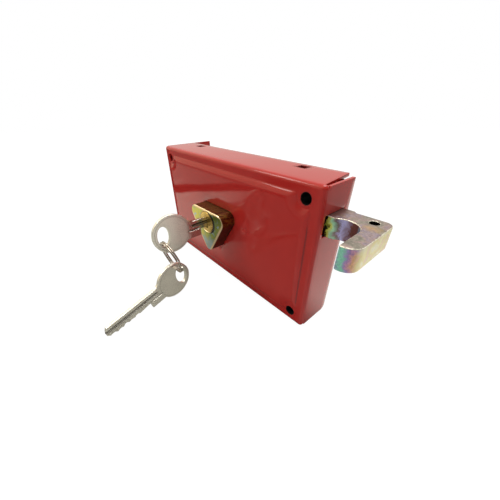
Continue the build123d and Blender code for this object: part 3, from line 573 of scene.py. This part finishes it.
def tube(rings):
    """Closed surface over a stack of rings with the same number of corners, with a fan on each end."""
    count, sides = rings.shape[:2]
    index = np.arange(count * sides).reshape(count, sides)
    ahead = np.roll(index, -1, 1)
    quads = np.stack([index[:-1], ahead[:-1], ahead[1:], index[1:]], 2).reshape(-1, 4)
    corners = np.concatenate([rings.reshape(-1, 3), rings[[0, -1]].mean(1)])
    low, high = count * sides, count * sides + 1
    first = np.column_stack([ahead[0], index[0], np.full(sides, low)])
    last = np.column_stack([index[-1], ahead[-1], np.full(sides, high)])
    return corners, quads.tolist() + first.tolist() + last.tolist()


def creased(mesh):
    """The mesh smooth but for its sharp edges."""
    mesh.shade_smooth()
    mesh.set_sharp_from_angle(angle=CREASE)
    return mesh


def make_piece(name, corners, faces, material):
    """Mesh object at the origin."""
    mesh = bpy.data.meshes.new(name)
    mesh.from_pydata(np.asarray(corners).tolist(), [], faces)
    mesh.update()
    mesh.materials.append(material)
    piece = bpy.data.objects.new(name, creased(mesh))
    bpy.context.scene.collection.objects.link(piece)
    return piece


def applied(piece):
    """The piece with its modifiers made part of its mesh."""
    finished = bpy.data.meshes.new_from_object(piece.evaluated_get(bpy.context.evaluated_depsgraph_get()))
    piece.modifiers.clear()
    piece.data = creased(finished)
    return piece


def corner_places(piece):
    """Places of a piece's corners as an array."""
    places = np.empty(3 * len(piece.data.vertices), np.float32)
    piece.data.vertices.foreach_get("co", places)
    return places.reshape(-1, 3)


def marked(piece, **amounts):
    """The piece with named amounts from nought to one for its corners, which its material reads."""
    for name, amount in amounts.items():
        layer = piece.data.attributes.new(name, "FLOAT", "POINT")
        layer.data.foreach_set("value", np.clip(amount, 0, 1).astype(np.float32))
    return piece


def settle(piece, body, slot, *nodes):
    """The piece rides on its body and stands for its CAD nodes."""
    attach(piece, body)
    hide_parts(*nodes)


# Cover

def guard_outline(grow, count=96):
    """Rounded triangle of the guard: the hull of three circles, walked by the direction it faces."""
    centres = GUARD_CENTRES + [AXIS.x, AXIS.z]
    radii = GUARD_RADII + grow
    facing = np.stack([np.cos(turns(count)), np.sin(turns(count))], 1)
    reach = facing @ centres.T + radii
    best = reach.argmax(1)
    return centres[best] + radii[best, None] * facing


def fixing_places():
    """Centres of the four fixing holes, in the middle of the spacers."""
    return [(x, z) for x in (SPACER_LOW.x + SPACER_RADIUS, SPACER_HIGH.x - SPACER_RADIUS)
            for z in (SPACER_LOW.z + SPACER_RADIUS, SPACER_HIGH.z - SPACER_RADIUS)]


def rivet_places():
    """Centres of the three rivets, left and right of the plug's axis and below it."""
    return [(RIVET_LOW.x + RIVET_HEAD, AXIS.z), (RIVET_HIGH.x - RIVET_HEAD, AXIS.z),
            (AXIS.x, RIVET_LOW.z + RIVET_HEAD)]


class Blank:
    """The cover's sheet before it is folded: across and up run on over the bends and along the walls."""

    def __init__(self, sizes):
        self.sizes = sizes
        self.front_y = COVER_LOW.y + sizes.rise
        self.flat = np.array([COVER_HIGH.x - sizes.bend, COVER_HIGH.z - sizes.bend])
        self.turn = sizes.bend * math.pi / 2
        self.bent_y = self.front_y + sizes.bend

    def wall(self, y):
        """How far past the flat a wall's point at depth y lies on the blank."""
        return self.turn + y - self.bent_y

    def outline(self):
        """Outline of the blank, anticlockwise from the right wall's lower front corner. The right wall stops
        short of the door with rounded corners, and the left one runs on past it as the long flange."""
        (wide, high), turn = self.flat, self.turn
        flare = turn + 1.0 * MM
        right, left = wide + self.wall(-3.0 * MM), wide + self.wall(COVER_HIGH.y - 0.01 * MM)
        upper = high + self.wall(0.0)
        wall_end, flange_end = COVER_HIGH.z - 0.5 * MM, COVER_HIGH.z
        top_left, wedge, corner = -COVER_HIGH.x + 1.9 * MM, 2.6 * MM, 3.0 * MM
        round_end = arc((right - corner, corner - wall_end), corner, -90, 0, 9)
        return np.concatenate([
            [(wide + turn, -high), (wide + flare, -wall_end)], round_end,
            [(right, wall_end), (wide + flare, wall_end), (wide + turn, high), (wide + turn, high + turn),
             (wide, high + turn), (wide - wedge, upper), (top_left, upper), (top_left, high + flare),
             (-wide, high + turn), (-wide - turn, high + turn), (-wide - turn, high),
             (-wide - flare, flange_end), (-left, flange_end), (-left, -flange_end),
             (-wide - flare, -flange_end), (-wide - turn, -high), (-wide - turn, -high - turn),
             (-wide, -high - turn), (top_left, -high - flare), (top_left, -upper), (wide - wedge, -upper),
             (wide, -high - turn), (wide + turn, -high - turn)]])

    def openings(self):
        """Outlines of every hole: guard, fixings, rivets, bolt slot, and the back plate's tabs."""
        wide, high = self.flat
        rounds = [circle(place, FIXING_RADIUS, 40) for place in fixing_places()]
        rounds += [circle(place, RIVET_HOLE, 20) for place in rivet_places()]
        slot = [wide + self.wall(y) for y in (SLOT_FRONT_Y, BOLT_HIGH.y + 0.5 * MM)]
        squares = [(*slot, BOLT_LOW.z - 0.3 * MM, BOLT_HIGH.z + 0.3 * MM)]
        for x in TAB_PLACES:
            near, far = (high + self.wall(TAB_Y + side * TAB_HALF_DEPTH) for side in (-1, 1))
            for ends in ((near, far), (-far, -near)):
                squares.append((x - TAB_HALF_LENGTH, x + TAB_HALF_LENGTH, *ends))
        corners = [[(start, low), (end, low), (end, top), (start, top)] for start, end, low, top in squares]
        return [guard_outline(0.25 * MM), *rounds, *corners]

    def rise(self, points):
        """Height of the panel: steep from a short foot and easing inwards over the ridge's width along the
        panel's edge, and over the wider flare round each fixing hole. The lesser of the two shares counts."""
        sizes = self.sizes
        lead, blend, foot, ease = 0.2, 0.35, 0.1, 2.2
        edge = np.array([COVER_HIGH.x, COVER_HIGH.z]) - sizes.inset
        share = (edge - abs(points)).min(1) / sizes.ridge + lead
        holes = np.array(fixing_places())
        round_hole = (np.linalg.norm(points[:, None] - holes, axis=2).min(1) - sizes.scallop) / sizes.flare
        mix = np.clip(0.5 + (round_hole - share) / (2 * blend), 0, 1)
        share = np.clip(share * mix + round_hole * (1 - mix) - blend * mix * (1 - mix), 0, 1)
        return sizes.rise * (1 - (1 - share) ** ease) * smooth(share / foot)

    def folded(self, points):
        """Blank point to place in the lock. Past the flat the sheet turns a quarter circle and runs
        straight back. In a corner square both bends meet in a ball, the square carried onto its disc. Near
        its left edge the front falls back a little."""
        bend = self.sizes.bend
        over = abs(points) - self.flat
        on_wall = over > self.turn + TOUCHING
        share = np.clip(over / self.turn, 0, 1)
        share[on_wall[:, ::-1]] = 0
        disc = share * np.sqrt(1 - share[:, ::-1] ** 2 / 2)
        radius = np.hypot(disc[:, 0], disc[:, 1])
        towards = disc / np.maximum(radius, TOUCHING)[:, None]
        angle = radius * math.pi / 2
        base = np.where(on_wall[:, ::-1], abs(points), np.minimum(abs(points), self.flat))
        across = np.sign(points) * (base + bend * np.sin(angle)[:, None] * towards)
        back = np.where(on_wall, over - self.turn, 0).sum(1)
        left = 1 - (points[:, 0] + self.flat[0]) / self.sizes.droop_width
        fallen = self.sizes.droop * smooth(left) * np.cos(angle)
        y = self.front_y + bend * (1 - np.cos(angle)) + back + fallen - self.rise(points)
        return np.column_stack([across[:, 0], y, across[:, 1]])


def sheet_cover(material):
    """Folded cover: the blank's triangles folded, then given the sheet's thickness and rounded rims."""
    sizes = bpy.context.scene.lock_cover
    blank = Blank(sizes)
    fine, coarse = 0.42 * MM, 3.0 * MM
    loops = [refined(blank.outline(), fine), *[refined(loop, 0.8 * MM) for loop in blank.openings()]]
    clear = sizes.scallop + sizes.flare
    lines = []
    for reach, half, hole in zip(loops[0].T, blank.flat, fixing_places()[-1]):
        stops = [reach.min(), -half - blank.turn, -hole + clear, hole - clear, half + blank.turn, reach.max()]
        lines.append(ruled(stops, [coarse, fine, coarse, fine, coarse]))
    flat, faces = plate_triangles(loops, lattice_inside(*lines, loops, 0.3 * fine))
    piece = make_piece("folded_cover", blank.folded(flat), faces.tolist(), material)
    piece.modifiers.new("sheet", "SOLIDIFY").thickness = sizes.sheet
    piece.modifiers["sheet"].use_even_offset = True
    rims = piece.modifiers.new("rims", "BEVEL")
    rims.width, rims.segments, rims.angle_limit = sizes.rim, 2, math.radians(50)
    finished = applied(piece)
    return marked(finished, grime=cover_grime(corner_places(finished), blank))


def cover_grime(places, blank):
    """How dark each corner of the cover is, as painted shade: full inside the right fixing holes, half in the tabs'
    square holes, and along the crease at the foot of the panel's right edge."""
    x, y, z = places.T
    grime = np.zeros(len(places))
    margin = 0.1 * MM
    for hole_x, hole_z in fixing_places():
        if hole_x > 0:
            grime[np.hypot(x - hole_x, z - hole_z) < FIXING_RADIUS + margin] = 1
    in_wall = (abs(y - TAB_Y) < TAB_HALF_DEPTH + margin) & (abs(z) > 30 * MM)
    for tab in TAB_PLACES:
        grime[in_wall & (abs(x - tab) < TAB_HALF_LENGTH + margin)] = 0.55
    # Painted shade along the concave crease at the foot of the panel's right edge
    crease_shade_x, crease_shade_half, crease_shade_low, crease_shade_high = COVER_HIGH.x - 5.4 * MM, 0.22 * MM, -25.5 * MM, 20 * MM
    fade = np.clip((crease_shade_high - z) / MM, 0, 1) * np.clip((z - crease_shade_low) / MM, 0, 1)
    crease_shade = np.minimum(band(x, crease_shade_x, crease_shade_half), 0.75) * fade * (y < blank.front_y + 0.4 * MM)
    return np.maximum(grime, crease_shade)


# Keys and ring

def key_outline():
    """Blade, lug and bow of the key in millimetres from its tip, anticlockwise, with five cuts below."""
    lower = [(0, -0.9), (1.3, -2.2)]
    for i, depth in enumerate(CUT_DEPTHS):
        along = CUT_START + CUT_PITCH * i
        lower += [(along - 0.5, -depth), (along + 0.5, -depth), (along + 1.7, -3.3)]
    lower += [(LUG_START, -2.5), (LUG_START, LUG_LOW), (LUG_END, LUG_LOW)]
    rise = BLADE_TOP + NECK_ROUND
    neck = np.array([BOW_CENTRE - math.sqrt((BOW_RADIUS + NECK_ROUND) ** 2 - rise ** 2), rise])
    meet = math.degrees(math.atan2(neck[1], neck[0] - BOW_CENTRE))
    bow = arc((BOW_CENTRE, 0), BOW_RADIUS, 215.5, 360 + meet, 90)
    upper = arc(neck, NECK_ROUND, meet - 180, -90, 8)[1:].tolist() + [(1.8, BLADE_TOP), (0, 1.0)]
    return np.array(lower + bow.tolist() + upper)


def key_half_thickness(points, loops, sizes):
    """Half thickness of the key: rounded at its edges, lower on the blade than on the bow, with a ring
    pressed round the bow, two milled grooves on each side and a cutter's run-out at their ends."""
    along, across = points.T / MM
    bow = np.hypot(along - BOW_CENTRE, across)
    height = sizes.thickness / 2 - sizes.thinning * smooth((bow - BOW_RADIUS + 0.9) / 0.5)
    ring = smooth(1 - abs(bow - BOW_LINE) / 0.45) * smooth((bow - 9) / 1)
    height = height - 0.07 * MM * ring
    for start, end, middle, half, cut in ((-5.0, 33.0, LONG_GROOVE, 0.8, 0.55),
                                          (27.9, 37.0, SHORT_GROOVE, 0.4, 0.4)):
        walls = smooth((half + 0.12 - abs(across - middle)) / 0.24)
        runs = smooth((along - start) / 1.5) * smooth((end - along) / 1.5)
        height = height - cut * MM * walls * runs
    return rounded(points, loops, height, sizes.edge)


def key_grime(corners):
    """How dark each corner of a flat key is, as painted shade: along the upper wall of the long groove, in the
    short groove, and in the line pressed round the bow."""
    along, across, _ = np.asarray(corners).T / MM
    on_blade = np.clip((LUG_END - along) / 2, 0, 1)
    # Painted shade along the long groove's upper wall, in the short groove and in the pressed line round the bow
    grime = (band(across, LONG_GROOVE + 0.4, 0.6) + 0.5 * band(across, LONG_GROOVE - 0.8, 0.25)) * on_blade
    grime += 0.8 * band(across, SHORT_GROOVE, 0.4) * band(along, 32.0, 4.5)
    bow = np.hypot(along - BOW_CENTRE, across)
    return grime + 0.25 * band(bow, BOW_LINE, 0.3) * np.clip(bow - 9.5, 0, 1)


def flat_key():
    """Corners and faces of a key lying flat: along, across and out of its face. Its points stand closer
    over the grooves' walls, along the edges and on the line pressed round the bow."""
    sizes = bpy.context.scene.lock_keys
    turn = turns(56)
    hole = np.stack([HOLE_CENTRE + HOLE_HALF[0] * np.cos(turn), HOLE_HALF[1] * np.sin(turn)], 1)
    loops = [refined(key_outline() * MM, 0.4 * MM), hole * MM]
    along = ruled(np.array([0.3, 34.2, 58.0]) * MM, [0.5 * MM, 0.5 * MM])
    stops = np.array([-11.6, -2.5, -2.42, -2.18, -1.62, -1.38, -0.02, 0.22, 1.58, 1.82, 11.6]) * MM
    steps = np.array([0.5, 0.1, 0.12, 0.3, 0.12, 0.4, 0.12, 0.35, 0.12, 0.5]) * MM
    margin = 1.15 * sizes.edge
    lattice = lattice_inside(along, ruled(stops, steps), loops, margin)
    lattice = lattice[abs(np.linalg.norm(lattice - [BOW_CENTRE * MM, 0], axis=1) / MM - BOW_LINE) > 0.75]
    line = np.concatenate([circle((BOW_CENTRE, 0), r, 120) * MM for r in (9.9, 10.05, BOW_LINE, 10.95, 11.1)])
    line = line[depth_inside(line, loops) > margin]
    inner = np.concatenate([inward_rows(loops, ROUND_ROWS * sizes.edge), lattice, line])
    return solid_plate(loops, inner, lambda points: key_half_thickness(points, loops, sizes))


def ring_places():
    """Upward direction, centre and bottom of the split ring, hung in the first key's bow."""
    up = Vector((0, -math.sin(RING_LEAN), math.cos(RING_LEAN)))
    top = KEY_TIP + Vector((0, -HOLE_CENTRE * MM, -HOLE_DROP * MM))
    centre = top - up * bpy.context.scene.lock_ring.radius
    return up, centre, centre * 2 - top


def placed(corners, origin, along, out):
    """Flat key corners carried to a key's own origin, length direction and face direction."""
    axes = np.array([along, out.cross(along), out])
    return corners @ axes + np.array(origin)


def key_in_plug(material):
    """First key, in the plug with its cuts down, polished and a little darkened up to its bow."""
    corners, faces = flat_key()
    piece = make_piece("key_in_plug", placed(corners, KEY_TIP, Vector(FRONT), Vector(LEFT)), faces, material)
    polish = np.clip((37 - corners[:, 0] / MM) / 3, 0, 1)
    return marked(piece, grime=key_grime(corners) + 0.25 * polish, polish=polish)


def spare_key(material):
    """Second key, hung on the ring and standing on its edge beside the case."""
    corners, faces = flat_key()
    pitch, turn = math.radians(10.7), math.radians(9.7)
    along = Vector((-math.sin(turn) * math.cos(pitch), math.cos(turn) * math.cos(pitch), math.sin(pitch)))
    out = Vector((math.cos(turn), math.sin(turn), 0))
    bottom = ring_places()[2]
    tip = bottom - out.cross(along) * HOLE_DROP * MM - along * HOLE_CENTRE * MM
    piece = make_piece("spare_key", placed(corners, tip, along, out), faces, material)
    return marked(piece, grime=key_grime(corners))


def split_ring(material):
    """Two turns of wire: the angle runs nearly twice round, and the wire changes sides where it crosses."""
    sizes = bpy.context.scene.lock_ring
    up, centre, _ = ring_places()
    right = Vector(RIGHT)
    angle = np.radians(np.linspace(15, 705, 320))
    crossed = smooth((angle - math.radians(345)) / math.radians(30))
    side = (sizes.wire + sizes.gap / 2) * (1 - 2 * crossed)
    amounts = [np.cos(angle) * sizes.radius, np.sin(angle) * sizes.radius, side]
    path = np.array(centre) + np.stack(amounts, 1) @ np.array([right, up, right.cross(up)])
    corners, faces = swept(path, sizes.wire, 16)
    return make_piece("split_ring_wire", corners, faces, material)


# Hook bolt and rivets

def hook_outline():
    """Outline of the hook bolt seen from above, anticlockwise from its tail's front corner."""
    sizes = bpy.context.scene.lock_hook
    front, back = BOLT_HIGH.y - 13.0 * MM, BOLT_HIGH.y
    end, tip, tail = BOLT_HIGH.x, BOLT_LOW.y, BOLT_LOW.x
    inner = end - 6.8 * MM
    throat_x, throat_y = inner - sizes.throat, front - 5.0 * MM
    shoulder = COVER_HIGH.x + 5.5 * MM
    step = 1.2 * MM
    meet = 180 - math.degrees(math.asin((front - throat_y) / sizes.throat))
    corner, nose, lip = 3.5 * MM, 5.5 * MM, 0.9 * MM
    return np.concatenate([
        [(tail, front)], arc((throat_x, throat_y), sizes.throat, meet, 0, 40),
        arc((inner + lip, tip + lip), lip, 180, 270, 7), arc((end - nose, tip + nose), nose, 270, 360, 24),
        arc((end - corner, back - step - corner), corner, 0, 90, 16),
        [(shoulder + step, back - step), (shoulder, back), (tail, back)]])


def hook_bolt(material):
    """Hook bolt: a thick plate lying flat, its edges rounded, with the eye through the hook. Painted shade makes
    it dark in the eye, and it is worn along the edges of its top with a painted highlight there."""
    sizes = bpy.context.scene.lock_hook
    eye_place = (BOLT_HIGH.x - 6.3 * MM, BOLT_HIGH.y - 5.7 * MM)
    loops = [refined(hook_outline(), 1.2 * MM), circle(eye_place, sizes.eye, 40)]
    half = (BOLT_HIGH.z - BOLT_LOW.z) / 2
    rows = inward_rows(loops, ROUND_ROWS * sizes.edge)
    corners, faces = solid_plate(loops, rows, lambda points: rounded(points, loops, half, sizes.edge))
    piece = make_piece("hook", corners + [0, 0, (BOLT_HIGH.z + BOLT_LOW.z) / 2], faces, material)
    # Painted shade inside the eye, and a painted highlight with the worn metal along the top's edges
    in_eye = np.linalg.norm(corners[:, :2] - eye_place, axis=1) < sizes.eye + 0.1 * MM
    depth = depth_inside(corners[:, :2], loops) / sizes.edge
    rubbed = np.clip(1.2 - depth / 1.2, 0, 1) * (depth > 0.02) * (corners[:, 2] > 0)
    return marked(piece, grime=in_eye, wear=0.62 * rubbed)


def painted_rivets(material):
    """Three rivets along Y: rings from the domed head, down the shank, to the closing head behind."""
    front, seat, back, end = RIVET_LOW.y, RIVET_LOW.y + 0.35 * MM, RIVET_HIGH.y - 0.9 * MM, RIVET_HIGH.y
    dome = np.radians(np.linspace(8, 80, 7))
    profile = [(front + (seat - front) * (1 - math.cos(a)), RIVET_HEAD * math.sin(a)) for a in dome]
    profile += [(seat, RIVET_HEAD), (seat, RIVET_SHANK), (back, RIVET_SHANK), (back, RIVET_HEAD),
                (end - 0.2 * MM, RIVET_HEAD), (end, RIVET_HEAD * 0.7)]
    turn = turns(28)
    corners, faces = [], []
    for x, z in rivet_places():
        rings = np.array([np.stack([x + r * np.cos(turn), np.full(28, y), z + r * np.sin(turn)], 1)
                          for y, r in profile])
        part, part_faces = tube(rings[:, ::-1])
        faces += [[i + sum(map(len, corners)) for i in face] for face in part_faces]
        corners.append(part)
    return make_piece("cover_rivets", np.concatenate(corners), faces, material)


# Operators

class LOCK_OT_cover(bpy.types.Operator):
    """Make the folded cover and its painted rivets"""
    bl_idname = "lock.cover"
    bl_label = "Cover"

    def execute(self, context):
        enamel = red_stove_enamel()
        settle(sheet_cover(enamel), "case", "red_enamel", "case_cover")
        settle(painted_rivets(enamel), "case", "rivet_steel", "bracket_rivets")
        return {"FINISHED"}


class LOCK_OT_hook(bpy.types.Operator):
    """Make the hook bolt"""
    bl_idname = "lock.hook"
    bl_label = "Hook bolt"

    def execute(self, context):
        settle(hook_bolt(yellow_chromate_zinc()), "bolt", "yellow_zinc", "hook_bolt")
        return {"FINISHED"}


class LOCK_OT_keys(bpy.types.Operator):
    """Make both keys and the split ring"""
    bl_idname = "lock.keys"
    bl_label = "Keys and ring"

    def execute(self, context):
        nickel = worn_nickel()
        settle(key_in_plug(nickel), "key", "nickel", "key_1")
        settle(spare_key(nickel), "spare", "nickel", "key_2")
        wire = plated_metal("nickel plated wire", "#d9d2c8", "#96897c", 0.4, 0.22)
        settle(split_ring(wire), "ring", "nickel", "split_ring")
        return {"FINISHED"}


class LOCK_OT_works(bpy.types.Operator):
    """Give the cylinder, the plates and the works inside their metals"""
    bl_idname = "lock.works"
    bl_label = "Cylinder and works"

    def execute(self, context):
        # Dark red-brown back plate: painted shade for what shows through the cover's holes and gaps
        shade_dark_sheet = plated_metal("back sheet in painted shade", "#5a3533", "#2e1a19", 0.8, 0.5)
        own = {"cylinder_body": guard_chromate(), "back_plate": shade_dark_sheet, "fixing_spacers": spacer_steel()}
        upright_grain = (1.0, 1.0, 0.08)
        finishes = {
            "zinc_sheet": plated_metal("zinc plated sheet", "#b9babb", "#8f9193", 0.6, 0.34, upright_grain),
            "turned_steel": plated_metal("turned steel", "#b4b4b2", "#7d7d7c", 0.3, 0.3),
            "gear_steel": plated_metal("oiled gear steel", "#8f8f90", "#5a5a5c", 0.3, 0.28),
            "spring_steel": plated_metal("blued spring steel", "#7d8391", "#4d5361", 0.4, 0.26),
            "brass": plated_metal("turned brass", "#d8b765", "#a3823c", 0.35, 0.26),
        }
        slots = {row["node"]: row["material_slot"] for row in frame["record"]["subparts"]}
        for name, node in frame["nodes"].items():
            if not node.hide_render:
                node.data.materials.clear()
                node.data.materials.append(own.get(name) or finishes[slots[name]])
        return {"FINISHED"}


class LOCK_OT_stage(bpy.types.Operator):
    """Make the floor, the room light, the lamps and the camera"""
    bl_idname = "lock.stage"
    bl_label = "Stage"

    def execute(self, context):
        settings = context.scene.lock_stage
        make_floor(settings)
        make_room(settings)
        make_lamp("key lamp", (-0.32, -0.345, 0.39), 0.15, settings.key_watts)
        make_lamp("top lamp", (0.0, 0.1, 0.7), 0.5, settings.top_watts)
        make_camera()
        return {"FINISHED"}


def make_floor(settings):
    """Round floor under the lock. The camera sees it near white, with the lock's shadow left on it. To gloss
    it glows as a painted reflection of a table top in warm light with a dark edge far out. It is bright at
    the left and at the right, dim in painted shade of the case at the front, blotched with painted
    reflections of what stands about, and darker in a long painted shadow strip at the front left."""
    radius, z = 1.5, COVER_LOW.z - 0.1 * MM
    corners = [(radius * math.cos(t), radius * math.sin(t), z) for t in turns(96)]
    material, node = emptied(bpy.data.materials.new("plain floor"))
    place = node("TexCoord").outputs["Object"]

    def graded(direction, low_mm, high_mm, start, end):
        """The ramp over the floor's places, in millimetres."""
        return ramped(node, place, direction, low_mm * MM, high_mm * MM, start, end)

    # In front of the case
    # Seen only in gloss: painted shade of the case, painted blotches and a painted shadow strip
    shade = graded((0.8, -0.6, 0), -25, 32, 1.4, 0.36)
    blotch = node("TexNoise", {"Vector": place, "Scale": per(30), "Detail": 2.0, "Distortion": 0.5})
    clutter = node("MapRange", [blotch, 0.54, 0.56, 0, 0.4])
    further = node("Math", [graded(FRONT, 70, 110, 0, 1), graded(FRONT, 120, 140, 1, 0.1)],
                   operation="MULTIPLY")
    ahead = node("Math", [clutter, further, shade], operation="MULTIPLY_ADD")
    lengthwise, crosswise, outward = (0.777, 0.629, 0), (0.629, -0.777, 0), (-0.80, -0.60, 0)
    past_strip = graded(lengthwise, -66, -58, 0, 1)
    for past in (graded(lengthwise, -172, -160, 1, 0), graded(crosswise, 12, 17, 1, 0),
                 graded(crosswise, 43, 48, 0, 1)):
        past_strip = node("Math", [past_strip, past], operation="MAXIMUM")
    strip = node("Math", [past_strip, 0.65, 0.35], operation="MULTIPLY_ADD")
    # Painted contact shadow just in front of the case, seen only in gloss
    contact = graded(FRONT, 30, 44, 0.25, 1)
    table, beyond = graded(outward, 208, 213, 1, 0.02), graded(outward, 248, 255, 0, 0.48)
    edge = node("Math", [table, beyond], operation="ADD")
    distant = graded(FRONT, 175, 225, 1, 0.5)
    aside, leftward = graded((-0.408, 0.913, 0), 3, 15, 1, 0.12), graded(RIGHT, -60, -20, 0, 1)
    bounded = node("Math", [aside, leftward], operation="MAXIMUM")
    for share in (strip, contact, edge, distant, bounded):
        ahead = node("Math", [ahead, share], operation="MULTIPLY")

    # Right of the case: beside its wall, and further out at its front corner
    beside = graded(BACK, -30, 8, 0, 1.25)
    for share in (graded(RIGHT, 110, 165, 1, 0.5), graded(RIGHT, 20, 66, 0, 1)):
        beside = node("Math", [beside, share], operation="MULTIPLY")
    right = node("Math", [graded((0.845, -0.535, 0), 66, 80, 0, 1), graded(BACK, -95, -75, 0.5, 0.75)],
                 operation="MULTIPLY")
    mirrored = node("Math", [node("Math", [ahead, beside], operation="MAXIMUM"), right], operation="MAXIMUM")

    path = node("LightPath")
    glossy = path.outputs["Is Glossy Ray"]
    far = node("VectorMath", [place], operation="LENGTH")
    white_share = node("MapRange", [far, 0.12, 0.4, 0.88, 1.0])
    seen = node("Math", [path.outputs["Is Camera Ray"], white_share], operation="MULTIPLY")
    strength = node("Mix", [glossy, 1.1, mirrored], data_type="FLOAT")
    warmth = layered(node, WARM_LIGHT, (graded(RIGHT, 40, 80, 0, 1), PLAIN_LIGHT))
    tint = layered(node, "#ffffff", (glossy, warmth))
    matte = node("BsdfDiffuse", {"Color": list(settings.floor)})
    white = node("Emission", {"Color": tint, "Strength": strength})
    mixed = node("MixShader", [node("Math", [seen, glossy], operation="MAXIMUM"), matte, white])
    node("OutputMaterial", {"Surface": mixed})
    make_piece("floor", corners, [list(range(len(corners)))], material)


def make_room(settings):
    """Plain room: white to the camera and plain as light. In gloss it is warm, warmest at the front, brighter
    overhead and at the front, and dim at the front right."""
    world, node = emptied(bpy.data.worlds.new("plain room"))
    facing = node("TexCoord").outputs["Generated"]
    height = ramped(node, facing, UP, 0.2, 0.65, 0.74, 1.3)
    front = ramped(node, facing, BACK, -0.5, 0.2, 0.4, 0)
    dim = ramped(node, facing, (0.8, -0.6, 0), 0.05, 0.4, 1, 0.2)
    mirrored = node("Math", [node("Math", [height, front], operation="ADD"), dim], operation="MULTIPLY")
    path = node("LightPath")
    glossy = path.outputs["Is Glossy Ray"]
    lit = node("Mix", [glossy, settings.room_light, mirrored], data_type="FLOAT")
    straight = [path.outputs["Is Camera Ray"], path.outputs["Is Transmission Ray"]]
    seen = node("Mix", [node("Math", straight, operation="MAXIMUM"), lit, 1.0], data_type="FLOAT")
    frontal = ramped(node, facing, BACK, -0.4, 0.2, 1, 0)
    tint = layered(node, "#ffffff", (glossy, layered(node, PLAIN_LIGHT, (frontal, WARMEST_LIGHT))))
    light = node("Background", {"Color": tint, "Strength": seen})
    node("OutputWorld", {"Surface": light})
    bpy.context.scene.world = world


def make_lamp(name, place, size, watts):
    """Square soft lamp that points at the case."""
    data = bpy.data.lights.new(name, "AREA")
    data.shape, data.size, data.energy = "SQUARE", size, watts
    lamp = bpy.data.objects.new(name, data)
    lamp.location = place
    lamp.rotation_euler = (-Vector(place)).to_track_quat("-Z", "Y").to_euler()
    bpy.context.scene.collection.objects.link(lamp)


def make_camera():
    """Camera near the hook's end, above and in front of the case, as worked out from the case's edges."""
    data = bpy.data.cameras.new("camera")
    data.lens, data.sensor_width = 16.70, 36.0
    data.shift_x, data.shift_y = 0.0147, 0.0097
    data.clip_start, data.clip_end = 0.005, 10.0
    camera = bpy.data.objects.new("camera", data)
    place = Vector((115.31, -107.31, 66.54)) * MM
    right = Vector((0.656221, 0.754526, -0.008095))
    up = Vector((-0.40756, 0.363448, 0.837735))
    turn = Matrix((right, up, right.cross(up))).transposed()
    camera.matrix_world = Matrix.Translation(place) @ turn.to_4x4()
    bpy.context.scene.collection.objects.link(camera)
    bpy.context.scene.camera = camera


class LOCK_PT_panel(bpy.types.Panel):
    """Buttons that make the lock's pieces and its stage"""
    bl_idname = "LOCK_PT_panel"
    bl_label = "Hook bolt lock"
    bl_space_type = "VIEW_3D"
    bl_region_type = "UI"
    bl_category = "Lock"

    def draw(self, context):
        for operator in OPERATORS:
            self.layout.operator(operator.bl_idname)
        for name, group in GROUPS.items():
            box = self.layout.box()
            for field in group.__annotations__:
                box.prop(getattr(context.scene, name), field)


OPERATORS = [LOCK_OT_stage, LOCK_OT_cover, LOCK_OT_hook, LOCK_OT_keys, LOCK_OT_works]
GROUPS = {"lock_cover": CoverSizes, "lock_hook": HookSizes, "lock_keys": KeySizes, "lock_ring": RingSizes,
          "lock_stage": StageSettings}


def register():
    """Registers the classes and gives the scene their settings."""
    for made in [*GROUPS.values(), *OPERATORS, LOCK_PT_panel]:
        bpy.utils.register_class(made)
    for name, group in GROUPS.items():
        setattr(bpy.types.Scene, name, bpy.props.PointerProperty(type=group))


def unregister():
    """Takes the settings and the classes away again."""
    for name in GROUPS:
        delattr(bpy.types.Scene, name)
    for made in [LOCK_PT_panel, *reversed(OPERATORS), *GROUPS.values()]:
        bpy.utils.unregister_class(made)


def main():
    """Dresses the lock piece by piece."""
    register()
    bpy.context.scene.view_settings.view_transform = "Standard"
    bpy.ops.lock.stage()
    bpy.ops.lock.cover()
    bpy.ops.lock.hook()
    bpy.ops.lock.keys()
    bpy.ops.lock.works()


if __name__ == "__main__":
    main()
